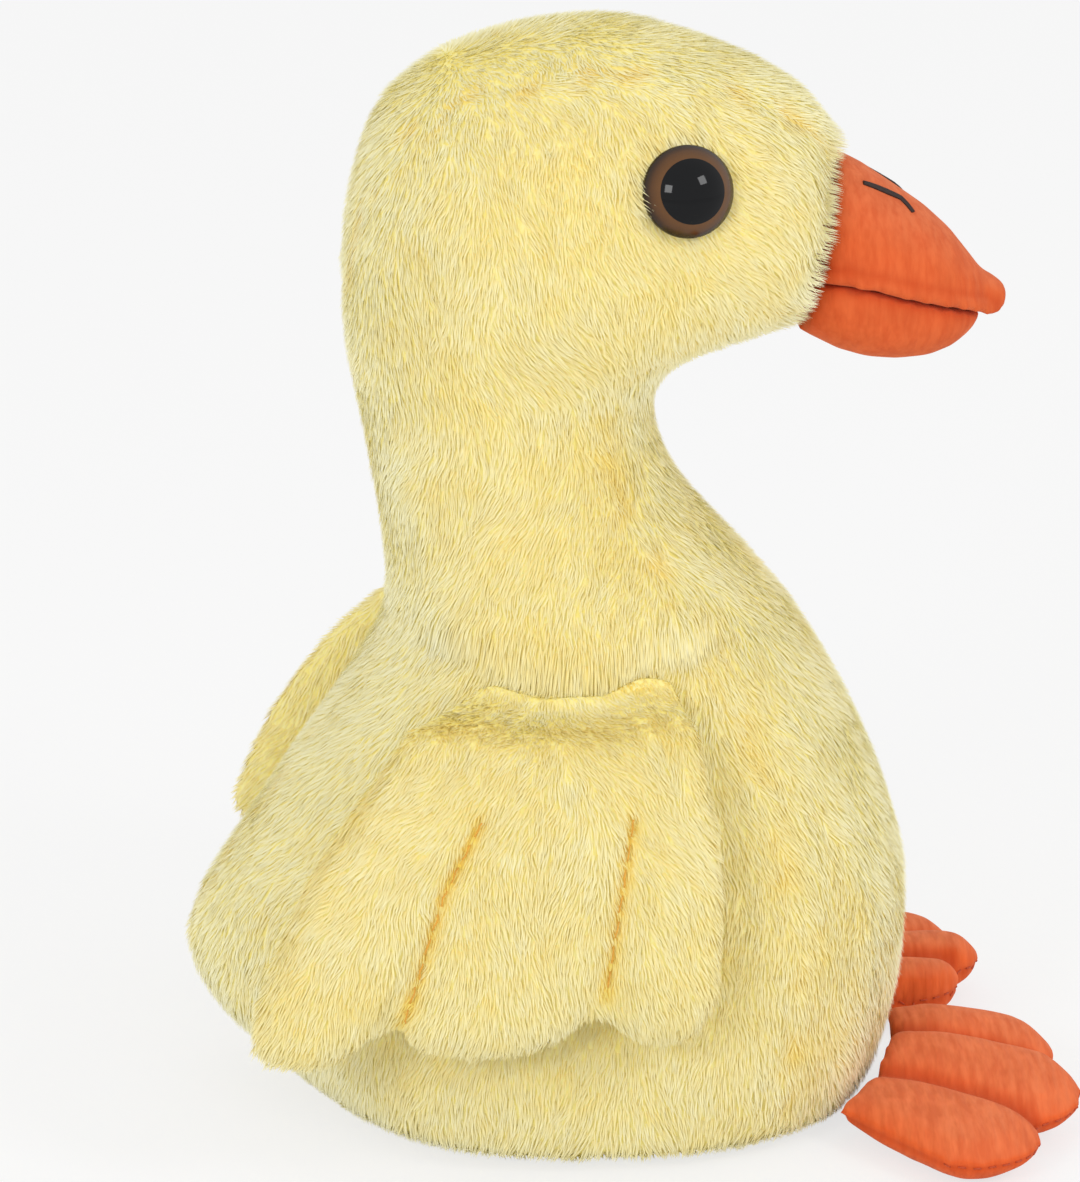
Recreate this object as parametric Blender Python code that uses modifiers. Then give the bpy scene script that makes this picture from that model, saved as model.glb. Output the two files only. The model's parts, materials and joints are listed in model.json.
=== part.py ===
"""A plush duckling that sits on a weighted base.

Pile panels are sewn round a filled body, with padded wings, a two-part beak,
padded feet with three toes, and moulded eyes on shanks.
Frame: +X is the way the duckling looks, +Z is up, Y = 0 is its middle plane,
and the origin is on the floor under the middle of the base.
"""
import math
from collections import namedtuple

import bmesh
import bpy
import numpy as np
from mathutils import Vector

MM = 0.001
RIGHT, LEFT = -1, 1

# Body widths and the tail, as the pile's outer surface
BODY_HALF_WIDTH = 48.0 * MM
NECK_HALF_WIDTH = 24.0 * MM
HEAD_HALF_WIDTH = 30.5 * MM
BEAK_RING_HALF_WIDTH = 15.5 * MM
TAIL_REACH = 18.5 * MM
TAIL_HALF_WIDTH = 22.0 * MM

# Fabric, seams and filling
PANEL_T = 3.0 * MM
BASE_T = 3.0 * MM
SEAM_GAP = 0.3 * MM
FILLING_GAP = 0.95 * MM
BASE_EDGE_GAP = 0.85 * MM
POUCH_FOOT_SHARE = 0.91
GUSSET_HALF_WIDTH = 16.5 * MM
BREAST_ANGLE_BASE = 58.0
BREAST_ANGLE_THROAT = 40.0
PANEL_COLUMNS = {"side": 11, "breast": 7, "crown": 4}
SIDE_COLUMN_POWER = 1.35
FILLING_COLUMNS = 28

# Moulded eye: a domed cap with a recess for the pupil, and a shank with a washer
EYE_X = 16.8 * MM
EYE_Z = 151.9 * MM
EYE_R = 7.0 * MM
EYE_DOME = 4.6 * MM
EYE_RIM = 0.6 * MM
EYE_SINK = 1.2 * MM
PUPIL_R = 5.0 * MM
RECESS_Z = 1.6 * MM
SHANK_R = 1.5 * MM
SHANK_END = 1.0 * MM
WASHER_R = 5.0 * MM
WASHER_T = 1.2 * MM
FIT_GAP = 0.3 * MM
WASHER_GAP = 0.7 * MM
TURN_STEPS = 16

# Wings: padded, with two stitched lines that make three lobes
WING_ROOT_Z = 79.5 * MM
WING_ROOT_X = (17.0 * MM, 11.8 * MM, -7.0 * MM, -22.0 * MM)
WING_EDGE_X = (22.0 * MM, 1.5 * MM, -32.5 * MM, -55.0 * MM)
WING_EDGE_Z_FRONT = 23.5 * MM
WING_EDGE_Z_REAR = 18.0 * MM
WING_NOTCH = 6.0 * MM
WING_CORNER = 8.0 * MM
WING_BOW_FRONT = 2.5 * MM
WING_BOW_REAR = 6.0 * MM
WING_T = 11.0 * MM
WING_ROOT_SHARE = 0.5
WING_EDGE_T = 1.4 * MM
WING_CHANNEL_SHARE = 0.55
WING_CHANNEL_WIDTH = 0.14
WING_CHANNEL_START = 0.34
WING_HUG_GAP = 0.6 * MM
WING_REAR_TUCK = 5.0 * MM
WING_LEFT_FLARE = 3.0
WING_LEFT_SWING = 4.0
WING_LEFT_FORWARD = 6.0 * MM
WING_LEFT_OUT = 2.0 * MM
WING_LEFT_DROP = 4.0 * MM
WING_COLUMNS = 15
WING_ROWS = 10

# Beak, set on the ring where the panels end
BEAK_SEAT_GAP = 0.3 * MM
MOUTH_GAP = 0.4 * MM
LOWER_BEAK_WIDTH_SHARE = 0.92
NOSTRIL_R = 0.6 * MM
NOSTRIL_X = (47.4 * MM, 51.5 * MM, 55.2 * MM)
NOSTRIL_Y = (5.6 * MM, 6.0 * MM, 6.9 * MM)

# Feet: a sewn fan of three toes on a sole
TOES = 3
FOOT_CENTRE_X = 45.0 * MM
FOOT_CENTRE_Y = 28.5 * MM
FOOT_REACH = {"right": 35.0 * MM, "left": 27.0 * MM}
FOOT_HEADING = {"right": 13.0, "left": -4.0}
FOOT_FAN = 118.0
FOOT_COLUMNS = 15
FOOT_ROWS = 7
FOOT_ROOT_ANGLES = (4.0, 45.0)
FOOT_ROOT_Z = (9.0 * MM, 5.2 * MM)
FOOT_TIP_Z = (6.4 * MM, 4.5 * MM)
FOOT_T = 8.6 * MM
FOOT_ROOT_SHARE = 0.5
FOOT_EDGE_T = 1.0 * MM
FOOT_NOTCH = 0.13
FOOT_CHANNEL_SHARE = 0.5
FOOT_CHANNEL_WIDTH = 0.17
FOOT_SEAT_GAP = 0.8 * MM
SOLE_SHARE = 0.28
SOLE_GAP = 0.3 * MM

# Stations of the body: where each cross-section starts behind and ends in front (mm),
# its half width as a share of the width named, its share of the tail, and how square it is
Station = namedtuple("Station", "rear_x rear_z front_x front_z width share tail square")
BODY, NECK, HEAD, RING = BODY_HALF_WIDTH, NECK_HALF_WIDTH, HEAD_HALF_WIDTH, BEAK_RING_HALF_WIDTH
STATIONS = (
    Station(-35.0, 0.0, 45.0, 0.0, BODY, 0.905, 0.00, 2.4),
    Station(-37.8, 2.0, 48.2, 2.0, BODY, 0.960, 0.12, 2.6),
    Station(-39.8, 6.0, 50.2, 6.0, BODY, 0.985, 0.40, 2.6),
    Station(-41.2, 12.0, 52.2, 12.0, BODY, 0.997, 0.72, 2.6),
    Station(-42.0, 19.0, 53.9, 19.0, BODY, 1.000, 0.95, 2.6),
    Station(-42.1, 25.0, 54.8, 25.0, BODY, 1.000, 1.00, 2.55),
    Station(-42.0, 32.0, 55.2, 32.0, BODY, 0.998, 0.90, 2.5),
    Station(-40.5, 40.0, 54.6, 40.0, BODY, 0.980, 0.70, 2.4),
    Station(-38.0, 50.0, 51.4, 50.0, BODY, 0.938, 0.45, 2.3),
    Station(-34.5, 60.0, 47.4, 60.0, BODY, 0.870, 0.25, 2.2),
    Station(-31.0, 69.0, 42.8, 69.0, BODY, 0.795, 0.08, 2.1),
    Station(-27.6, 78.0, 37.4, 78.0, BODY, 0.715, 0.00, 2.05),
    Station(-28.0, 88.0, 29.0, 88.0, NECK, 1.230, 0.00, 2.0),
    Station(-29.5, 98.0, 19.8, 98.0, NECK, 1.050, 0.00, 2.0),
    Station(-30.9, 106.0, 15.6, 105.8, NECK, 1.000, 0.00, 2.0),
    Station(-32.5, 113.0, 14.6, 112.1, NECK, 1.005, 0.00, 2.0),
    Station(-34.1, 121.5, 16.0, 116.9, HEAD, 0.835, 0.00, 2.0),
    Station(-34.9, 131.0, 20.0, 119.4, HEAD, 0.905, 0.00, 2.0),
    Station(-34.3, 141.0, 24.0, 120.4, HEAD, 0.960, 0.00, 2.0),
    Station(-32.3, 151.7, 27.0, 121.0, HEAD, 0.990, 0.00, 2.0),
    Station(-28.4, 161.2, 29.2, 121.6, HEAD, 1.000, 0.00, 2.0),
    Station(-19.6, 168.2, 31.0, 121.9, HEAD, 0.993, 0.00, 2.0),
    Station(-6.5, 172.4, 32.6, 122.2, HEAD, 0.970, 0.00, 2.0),
    Station(7.5, 173.7, 33.8, 122.4, HEAD, 0.925, 0.00, 2.0),
    Station(20.0, 170.5, 34.8, 122.7, HEAD, 0.860, 0.00, 2.0),
    Station(30.5, 166.2, 35.6, 123.0, HEAD, 0.780, 0.00, 2.0),
    Station(38.5, 161.3, 36.1, 123.2, HEAD, 0.682, 0.00, 2.0),
    Station(42.1, 156.4, 36.5, 123.4, RING, 1.160, 0.00, 2.0),
    Station(42.4, 151.8, 36.8, 123.6, RING, 1.000, 0.00, 2.0),
)
POUCH_TOP_STATION = 6
NECK_STATION = 14
NAPE_STATION = 17
CROWN_STATION = 23
LAST_STATION = len(STATIONS) - 1

# Stations of the beak (mm): x, top or bottom height, height of the mouth's rim, half width
BeakStation = namedtuple("BeakStation", "x outer_z rim_z half_width")
UPPER_BEAK = (
    BeakStation(40.5, 150.8, 132.8, 13.8),
    BeakStation(46.6, 148.6, 131.6, 14.2),
    BeakStation(51.6, 145.1, 130.0, 13.6),
    BeakStation(56.6, 141.5, 128.5, 12.2),
    BeakStation(60.6, 137.7, 127.2, 10.3),
    BeakStation(63.9, 133.4, 126.0, 7.8),
    BeakStation(65.7, 130.9, 125.0, 5.4),
    BeakStation(67.2, 130.3, 124.5, 4.6),
    BeakStation(68.8, 129.2, 125.1, 3.4),
    BeakStation(69.7, 127.9, 126.6, 1.5),
)
LOWER_BEAK = (
    BeakStation(38.5, 122.6, 133.0, 12.6),
    BeakStation(43.0, 119.4, 132.4, 13.9),
    BeakStation(47.5, 118.0, 131.4, 14.0),
    BeakStation(52.0, 117.6, 130.0, 13.4),
    BeakStation(56.8, 117.9, 128.5, 11.9),
    BeakStation(60.7, 119.3, 127.2, 9.8),
    BeakStation(63.6, 121.6, 126.1, 6.8),
    BeakStation(65.1, 123.4, 125.4, 3.4),
)
BEAK_COLUMNS = 16


def smooth_step(value):
    value = min(max(value, 0.0), 1.0)
    return value * value * (3.0 - 2.0 * value)


def blend(values, place):
    """Read a list of values at a fractional place, along a smooth curve through them."""
    last = len(values) - 1
    place = min(max(place, 0.0), float(last))
    low = min(int(place), last - 1)
    part = place - low
    before, here = values[max(low - 1, 0)], values[low]
    there, after = values[low + 1], values[min(low + 2, last)]
    slope_here = (there - before) / 2.0
    slope_there = (after - here) / 2.0
    square, cube = part * part, part ** 3
    return (
        (2.0 * cube - 3.0 * square + 1.0) * here
        + (cube - 2.0 * square + part) * slope_here
        + (3.0 * square - 2.0 * cube) * there
        + (cube - square) * slope_there
    )


def body_point(angle, station):
    """A point of the pile's surface; angle 0 is the breast side, half a turn is the back."""
    rear_x = blend([s.rear_x * MM for s in STATIONS], station)
    rear_z = blend([s.rear_z * MM for s in STATIONS], station)
    front_x = blend([s.front_x * MM for s in STATIONS], station)
    front_z = blend([s.front_z * MM for s in STATIONS], station)
    half_width = blend([s.width * s.share for s in STATIONS], station)
    square = blend([s.square for s in STATIONS], station)
    tail = blend([s.tail for s in STATIONS], station) * TAIL_REACH
    along, across = math.cos(angle), math.sin(angle)
    radius = (abs(along) ** square + abs(across) ** square) ** (-1.0 / square)
    share = 0.5 + 0.5 * along * radius
    y = half_width * across * radius
    x = rear_x + (front_x - rear_x) * share
    z = rear_z + (front_z - rear_z) * share
    if along < 0.0:
        behind = smooth_step(-along * radius)
        x -= tail * behind * math.exp(-((y / TAIL_HALF_WIDTH) ** 2))
    return np.array((x, y, z))


def body_normal(angle, station):
    step = 1e-3
    low, high = max(station - step, 0.0), min(station + step, float(LAST_STATION))
    around = body_point(angle + step, station) - body_point(angle - step, station)
    up = body_point(angle, high) - body_point(angle, low)
    normal = np.cross(around, up)
    return normal / np.linalg.norm(normal)


def body_offset(angle, station, depth):
    return body_point(angle, station) - depth * body_normal(angle, station)


def trunk_station(height):
    """The station whose cross-section lies at a height on the trunk."""
    heights = [s.rear_z * MM for s in STATIONS[:NECK_STATION]]
    low, high = 0.0, float(NECK_STATION - 1)
    for _ in range(40):
        middle = (low + high) / 2.0
        if blend(heights, middle) < height:
            low = middle
        else:
            high = middle
    return (low + high) / 2.0


def trunk_half_width(height):
    return body_point(math.pi / 2.0, trunk_station(height))[1]


def find_on_head(x, z):
    """The angle and station of the head's side surface at a place seen from the side."""
    best = None
    for station in np.linspace(NAPE_STATION, LAST_STATION, 111):
        for angle in np.linspace(math.radians(40), math.radians(140), 101):
            point = body_point(angle, station)
            miss = math.hypot(point[0] - x, point[2] - z)
            if best is None or miss < best[0]:
                best = (miss, angle, station)
    return best[1], best[2]


def breast_angle(station):
    """Half the angle that the breast panel spans at a station."""
    rise = smooth_step((station - trunk_station(WING_ROOT_Z)) / (NAPE_STATION - NECK_STATION + 6))
    return math.radians(BREAST_ANGLE_BASE + (BREAST_ANGLE_THROAT - BREAST_ANGLE_BASE) * rise)


def crown_angle(station):
    """Half the angle that the crown gusset spans, narrow at the nape and at the beak."""
    rise = smooth_step((station - NAPE_STATION + 1.0) / 5.0)
    fall = 1.0 - 0.45 * smooth_step((station - CROWN_STATION) / (LAST_STATION - CROWN_STATION))
    half_width = GUSSET_HALF_WIDTH * rise * fall
    widest = body_point(math.pi / 2.0, station)[1]
    return math.asin(min(0.9, half_width / widest))


def seam_shift(angle, station):
    """The angle that moves a panel's edge back by half the seam gap."""
    step = 1e-3
    travel = np.linalg.norm(body_point(angle + step, station) - body_point(angle, station))
    return 0.5 * SEAM_GAP / (travel / step)


def remove_all():
    for thing in list(bpy.data.objects):
        bpy.data.objects.remove(thing, do_unlink=True)


def new_collection(name):
    collection = bpy.data.collections.new(name)
    bpy.context.scene.collection.children.link(collection)
    return collection


def new_material(name, colour, roughness):
    material = bpy.data.materials.new(name)
    material.use_nodes = True
    shader = material.node_tree.nodes["Principled BSDF"]
    shader.inputs["Base Color"].default_value = (*colour, 1.0)
    shader.inputs["Roughness"].default_value = roughness
    shader.inputs["Metallic"].default_value = 0.0
    material.diffuse_color = (*colour, 1.0)
    return material


def new_object(name, points, faces, finish, collection, parent, sharp=50.0):
    """A closed body from its points and faces, with its faces turned outwards."""
    mesh = bpy.data.meshes.new(name)
    mesh.from_pydata([tuple(p) for p in points], [], faces)
    work = bmesh.new()
    work.from_mesh(mesh)
    bmesh.ops.recalc_face_normals(work, faces=work.faces)
    work.to_mesh(mesh)
    work.free()
    mesh.shade_smooth()
    mesh.set_sharp_from_angle(angle=math.radians(sharp))
    mesh.materials.append(new_material(name, *finish))
    thing = bpy.data.objects.new(name, mesh)
    collection.objects.link(thing)
    thing.parent = parent
    return thing


def two_sided(outer, inner):
    """The points and faces of a solid between two grids, closed along its four edges."""
    rows, columns = len(outer), len(outer[0])
    points = [p for grid in (outer, inner) for row in grid for p in row]
    back = rows * columns

    def number(row, column, side):
        return side * back + row * columns + column

    faces = []
    for row in range(rows - 1):
        for column in range(columns - 1):
            corners = ((row, column), (row, column + 1), (row + 1, column + 1), (row + 1, column))
            for side in (0, 1):
                faces.append(tuple(number(r, c, side) for r, c in corners))
    edge = [(0, c) for c in range(columns)]
    edge += [(r, columns - 1) for r in range(1, rows)]
    edge += [(rows - 1, c) for c in range(columns - 2, -1, -1)]
    edge += [(r, 0) for r in range(rows - 2, 0, -1)]
    for here, there in zip(edge, edge[1:] + edge[:1]):
        faces.append((number(*here, 0), number(*there, 0), number(*there, 1), number(*here, 1)))
    return points, faces


def ring_stack(rings):
    """The points and faces of a solid through closed rings, with a fan at each end."""
    count = len(rings[0])
    points = [p for ring in rings for p in ring]
    faces = []
    for level in range(len(rings) - 1):
        for place in range(count):
            beside = (place + 1) % count
            low, high = level * count, (level + 1) * count
            faces.append((low + place, low + beside, high + beside, high + place))
    for level, ring in ((0, rings[0]), (len(rings) - 1, rings[-1])):
        points.append(sum(ring) / count)
        for place in range(count):
            beside = (place + 1) % count
            faces.append((level * count + place, level * count + beside, len(points) - 1))
    return points, faces


def turned(name, profile, finish, collection, parent):
    """A turned piece: a profile of radius and height, top first, spun round local Z."""
    mesh = bpy.data.meshes.new(name)
    edges = [(i, i + 1) for i in range(len(profile) - 1)]
    mesh.from_pydata([(r, 0.0, z) for r, z in profile], edges, [])
    thing = bpy.data.objects.new(name, mesh)
    collection.objects.link(thing)
    thing.parent = parent
    screw = thing.modifiers.new("Turn", "SCREW")
    screw.steps = TURN_STEPS
    screw.render_steps = TURN_STEPS
    screw.use_merge_vertices = True
    screw.merge_threshold = 0.00001
    if finish:
        mesh.materials.append(new_material(name, *finish))
    return thing


def make_panel(name, rows, span, columns, power, finish, collection, parent):
    """A pile panel of the body; span gives its two edges' angles at a station.

    A power above 1 draws the columns together towards the panel's second edge.
    """
    shares = 1.0 - (1.0 - np.linspace(0.0, 1.0, columns + 1)) ** power
    outer, inner = [], []
    for station in rows:
        start, end = span(station)
        angles = start + (end - start) * shares
        outer.append([body_point(a, station) for a in angles])
        inner.append([body_offset(a, station, PANEL_T) for a in angles])
    return new_object(name, *two_sided(outer, inner), finish, collection, parent)


def side_span(side):
    """The side panel's edges: the breast seam, and the crown seam or the back seam."""

    def span(station):
        front = breast_angle(station)
        back = math.pi
        if station >= NAPE_STATION:
            back -= crown_angle(station)
        front += seam_shift(front, station)
        back -= seam_shift(back, station)
        return side * front, side * back

    return span


def breast_span(station):
    edge = breast_angle(station)
    edge -= seam_shift(edge, station)
    return -edge, edge


def crown_span(station):
    edge = math.pi - crown_angle(station)
    edge += seam_shift(edge, station)
    return edge, 2.0 * math.pi - edge


def make_panels(collection, parent):
    pile = ((0.86, 0.73, 0.28), 0.9)
    rows = range(LAST_STATION + 1)
    crown_rows = range(NAPE_STATION, LAST_STATION + 1)
    sides = PANEL_COLUMNS["side"]
    made = {}
    for side, word in ((RIGHT, "right"), (LEFT, "left")):
        name = f"side_panel_{word}"
        span = side_span(side)
        power = SIDE_COLUMN_POWER
        made[name] = make_panel(name, rows, span, sides, power, pile, collection, parent)
    breast = PANEL_COLUMNS["breast"]
    make_panel("breast_panel", rows, breast_span, breast, 1.0, pile, collection, parent)
    crown = PANEL_COLUMNS["crown"]
    make_panel("crown_gusset", crown_rows, crown_span, crown, 1.0, pile, collection, parent)
    return made


def full_turn():
    return [2.0 * math.pi * i / FILLING_COLUMNS for i in range(FILLING_COLUMNS)]


def make_base(collection, parent):
    """The flat base panel, its edge parallel to the ends of the panels round it."""
    low, high = [], []
    for angle in full_turn():
        point = body_point(angle, 0.0)
        normal = body_normal(angle, 0.0)
        outward = np.array((normal[0], normal[1], 0.0))
        outward /= np.linalg.norm(outward)
        foot = point - BASE_EDGE_GAP * outward
        low.append(foot)
        high.append(foot - normal * (BASE_T / abs(normal[2])))
    finish = ((0.84, 0.71, 0.30), 0.9)
    new_object("base_panel", *ring_stack([low, high]), finish, collection, parent, 30.0)


def inner_ring(station, height=None, share=1.0):
    """A ring of the space inside the panels, flat at a height if one is given."""
    ring = [body_offset(a, station, PANEL_T + FILLING_GAP) for a in full_turn()]
    if height is not None:
        middle = sum(ring) / len(ring)
        ring = [middle + (p - middle) * share for p in ring]
        ring = [np.array((p[0], p[1], height)) for p in ring]
    return ring


def make_pouch(collection, parent):
    """The bag of granules on the base panel."""
    top = STATIONS[POUCH_TOP_STATION].rear_z * MM - SEAM_GAP / 2.0
    floor = BASE_T + SEAM_GAP
    rings = [inner_ring(1.0, floor, POUCH_FOOT_SHARE)]
    rings += [inner_ring(float(s)) for s in range(2, POUCH_TOP_STATION)]
    rings.append(inner_ring(float(POUCH_TOP_STATION), top))
    new_object("bean_pouch", *ring_stack(rings), ((0.82, 0.80, 0.74), 0.8), collection, parent)


def make_filling(collection, parent):
    """The fibre filling of the upper body, neck and head."""
    floor = STATIONS[POUCH_TOP_STATION].rear_z * MM + SEAM_GAP / 2.0
    rings = [inner_ring(float(POUCH_TOP_STATION), floor)]
    rings += [inner_ring(float(s)) for s in range(POUCH_TOP_STATION + 1, LAST_STATION + 1)]
    finish = ((0.90, 0.90, 0.88), 1.0)
    return new_object("fibre_filling", *ring_stack(rings), finish, collection, parent)


def dome_height(radius):
    """Height of the eye's dome above its back, at a radius from its middle."""
    rise = EYE_DOME - EYE_RIM
    sphere = (EYE_R ** 2 + rise ** 2) / (2.0 * rise)
    return EYE_DOME - sphere + math.sqrt(sphere ** 2 - radius ** 2)


def eye_frame(side):
    angle, station = find_on_head(EYE_X, EYE_Z)
    normal = body_normal(side * angle, station)
    place = body_point(side * angle, station) - EYE_SINK * normal
    turn = Vector((0.0, 0.0, 1.0)).rotation_difference(Vector(normal))
    return place, turn


def set_in_place(thing, place, turn):
    thing.location = Vector(place)
    thing.rotation_mode = "QUATERNION"
    thing.rotation_quaternion = turn


def cut(thing, cutter):
    step = thing.modifiers.new("Cut " + cutter.name, "BOOLEAN")
    step.operation = "DIFFERENCE"
    step.solver = "EXACT"
    step.object = cutter


def make_eye(side, word, panel, filling, collection, cutters, parent):
    """An eye, its pupil and its washer, with their places in the panel and the filling."""
    place, turn = eye_frame(side)
    recess_r = PUPIL_R + FIT_GAP / 2.0
    pupil_r = PUPIL_R - FIT_GAP / 2.0
    panel_back = -(PANEL_T - EYE_SINK)
    washer_sag = WASHER_R ** 2 / (2.0 * (HEAD_HALF_WIDTH - PANEL_T))
    washer_top = panel_back - washer_sag - WASHER_GAP
    washer_low = washer_top - WASHER_T
    shank_low = washer_low - SHANK_END
    steps = 5
    dome = [recess_r + (EYE_R - recess_r) * i / steps for i in range(steps + 1)]
    cap = [(0.0, RECESS_Z), (recess_r, RECESS_Z)]
    cap += [(r, dome_height(r)) for r in dome]
    cap += [(EYE_R, 0.0), (SHANK_R, 0.0), (SHANK_R, shank_low), (0.0, shank_low)]
    brown = ((0.12, 0.05, 0.015), 0.12)
    black = ((0.006, 0.006, 0.008), 0.05)
    white = ((0.75, 0.75, 0.72), 0.4)
    eye = turned(f"eye_{word}", cap, brown, collection, parent)
    dome = [pupil_r * i / steps for i in range(steps + 1)]
    lens = [(r, dome_height(r)) for r in dome]
    seat = RECESS_Z + FIT_GAP
    lens += [(pupil_r, seat), (0.0, seat)]
    pupil = turned(f"pupil_{word}", lens, black, collection, parent)
    hole = SHANK_R + FIT_GAP
    ring = [(hole, washer_top), (WASHER_R, washer_top), (WASHER_R, washer_low), (hole, washer_low)]
    washer = turned(f"eye_washer_{word}", ring + ring[:1], white, collection, parent)
    pocket = EYE_R + FIT_GAP
    above = 2.0 * EYE_DOME
    below = panel_back - washer_sag - PANEL_T
    seat_cut = [(0.0, above), (pocket, above), (pocket, -FIT_GAP), (hole, -FIT_GAP)]
    seat_cut += [(hole, below), (0.0, below)]
    seat_cutter = turned(f"cut_eye_seat_{word}", seat_cut, None, cutters, parent)
    wide = WASHER_R + 2.0 * FIT_GAP
    deep = shank_low - FIT_GAP
    pocket_cut = [(0.0, above), (wide, above), (wide, deep), (0.0, deep)]
    pocket_cutter = turned(f"cut_washer_{word}", pocket_cut, None, cutters, parent)
    for cutter in (seat_cutter, pocket_cutter):
        cutter.hide_render = True
        cutter.display_type = "WIRE"
    for thing in (eye, pupil, washer, seat_cutter, pocket_cutter):
        set_in_place(thing, place, turn)
        thing.data.shade_smooth()
    cut(panel, seat_cutter)
    cut(filling, pocket_cutter)


def ring_plane_x(z):
    """The x of the plane where the panels end round the beak, at a height."""
    top, low = STATIONS[LAST_STATION].rear_z * MM, STATIONS[LAST_STATION].front_z * MM
    top_x, low_x = STATIONS[LAST_STATION].rear_x * MM, STATIONS[LAST_STATION].front_x * MM
    return low_x + (top_x - low_x) * (z - low) / (top - low)


def beak_ring(station, width_share, rim_drop, root):
    """A beak's section: a dome over (or under) a flat mouth side."""
    ring = []
    half_width = station.half_width * MM * width_share
    rim = station.rim_z * MM - rim_drop
    rise = station.outer_z * MM - rim
    for place in range(BEAK_COLUMNS + 1):
        angle = math.pi * place / BEAK_COLUMNS
        y = half_width * math.cos(angle)
        z = rim + rise * math.sin(angle) ** 0.9
        ring.append(np.array((station.x * MM, y, z)))
    for place in range(1, 4):
        y = half_width * (-1.0 + place / 2.0)
        ring.append(np.array((station.x * MM, y, rim)))
    if root:
        ring = [np.array((ring_plane_x(p[2]) + BEAK_SEAT_GAP, p[1], p[2])) for p in ring]
    return ring


def make_beak(collection, parent):
    orange = ((0.78, 0.16, 0.045), 0.85)
    jobs = (
        ("upper_beak", UPPER_BEAK, 1.0, 0.0),
        ("lower_beak", LOWER_BEAK, LOWER_BEAK_WIDTH_SHARE, MOUTH_GAP),
    )
    for name, stations, share, drop in jobs:
        rings = [beak_ring(s, share, drop, s is stations[0]) for s in stations]
        new_object(name, *ring_stack(rings), orange, collection, parent, 60.0)


def upper_beak_z(x, y):
    """Height of the upper beak's surface."""
    xs = [s.x * MM for s in UPPER_BEAK]
    top = np.interp(x, xs, [s.outer_z * MM for s in UPPER_BEAK])
    rim = np.interp(x, xs, [s.rim_z * MM for s in UPPER_BEAK])
    half_width = np.interp(x, xs, [s.half_width * MM for s in UPPER_BEAK])
    return rim + (top - rim) * math.sin(math.acos(y / half_width)) ** 0.9


def make_nostril(side, word, collection, parent):
    """An embroidered bar that lies along the beak's slope."""
    count = 7
    step = 1e-4
    centres = []
    for place in range(count):
        at = 2.0 * place / (count - 1)
        x, y = blend(NOSTRIL_X, at), side * blend(NOSTRIL_Y, at)
        slope_x = (upper_beak_z(x + step, y) - upper_beak_z(x - step, y)) / (2.0 * step)
        slope_y = (upper_beak_z(x, y + step) - upper_beak_z(x, y - step)) / (2.0 * step)
        normal = np.array((-slope_x, -slope_y, 1.0))
        normal /= np.linalg.norm(normal)
        centres.append(np.array((x, y, upper_beak_z(x, y))) + normal * (NOSTRIL_R + FIT_GAP))
    curve = bpy.data.curves.new(f"nostril_{word}_path", "CURVE")
    curve.dimensions = "3D"
    curve.bevel_depth = NOSTRIL_R
    curve.bevel_resolution = 1
    curve.use_fill_caps = True
    spline = curve.splines.new("POLY")
    spline.points.add(count - 1)
    for point, centre in zip(spline.points, centres):
        point.co = (*centre, 1.0)
    curve.materials.append(new_material(f"nostril_stitch_{word}", (0.02, 0.012, 0.012), 0.7))
    bar = bpy.data.objects.new(f"nostril_stitch_{word}", curve)
    collection.objects.link(bar)
    bar.parent = parent


def channel(place, width):
    """How close a place across a padded piece is to one of its stitched lines."""
    nearest = min(abs(place - line) for line in range(1, TOES))
    return math.exp(-((nearest / width) ** 2))


def wing_centre(place, reach):
    """The middle of the wing's thickness, before the side it is on is chosen."""
    scallop = 1.0 - abs(math.sin(math.pi * place)) ** 0.7
    corner = place < 0.5 or place > TOES - 0.5
    notch = (WING_CORNER if corner else WING_NOTCH) * scallop
    edge_z = WING_EDGE_Z_FRONT + (WING_EDGE_Z_REAR - WING_EDGE_Z_FRONT) * place / TOES + notch
    z = WING_ROOT_Z + (edge_z - WING_ROOT_Z) * reach
    bow = math.sin(math.pi * reach)
    x = blend(WING_ROOT_X, place) + (blend(WING_EDGE_X, place) - blend(WING_ROOT_X, place)) * reach
    x += WING_BOW_FRONT * bow * max(0.0, 1.0 - place) - WING_BOW_REAR * bow * max(0.0, place - 2.0)
    tuck = WING_REAR_TUCK * reach * (place / TOES) ** 3
    y = trunk_half_width(z) + WING_HUG_GAP + wing_thickness_at_body(reach) / 2.0 - tuck
    return np.array((x, y, z))


def wing_thickness_at_body(reach):
    """The pad's full thickness, from its sewn root to its middle."""
    root = WING_ROOT_SHARE
    return WING_T * (root + (1.0 - root) * smooth_step(reach / 0.3))


def wing_thickness(place, reach):
    across = math.sqrt(max(0.0, 1.0 - abs(2.0 * place / TOES - 1.0) ** 5))
    end = math.sqrt(max(0.0, 1.0 - max(0.0, (reach - 0.8) / 0.2) ** 2))
    ramp = smooth_step((reach - WING_CHANNEL_START + 0.08) / 0.16)
    pinch = 1.0 - WING_CHANNEL_SHARE * ramp * channel(place, WING_CHANNEL_WIDTH)
    full = wing_thickness_at_body(reach) - WING_EDGE_T
    return WING_EDGE_T + full * across * end * pinch


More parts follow.
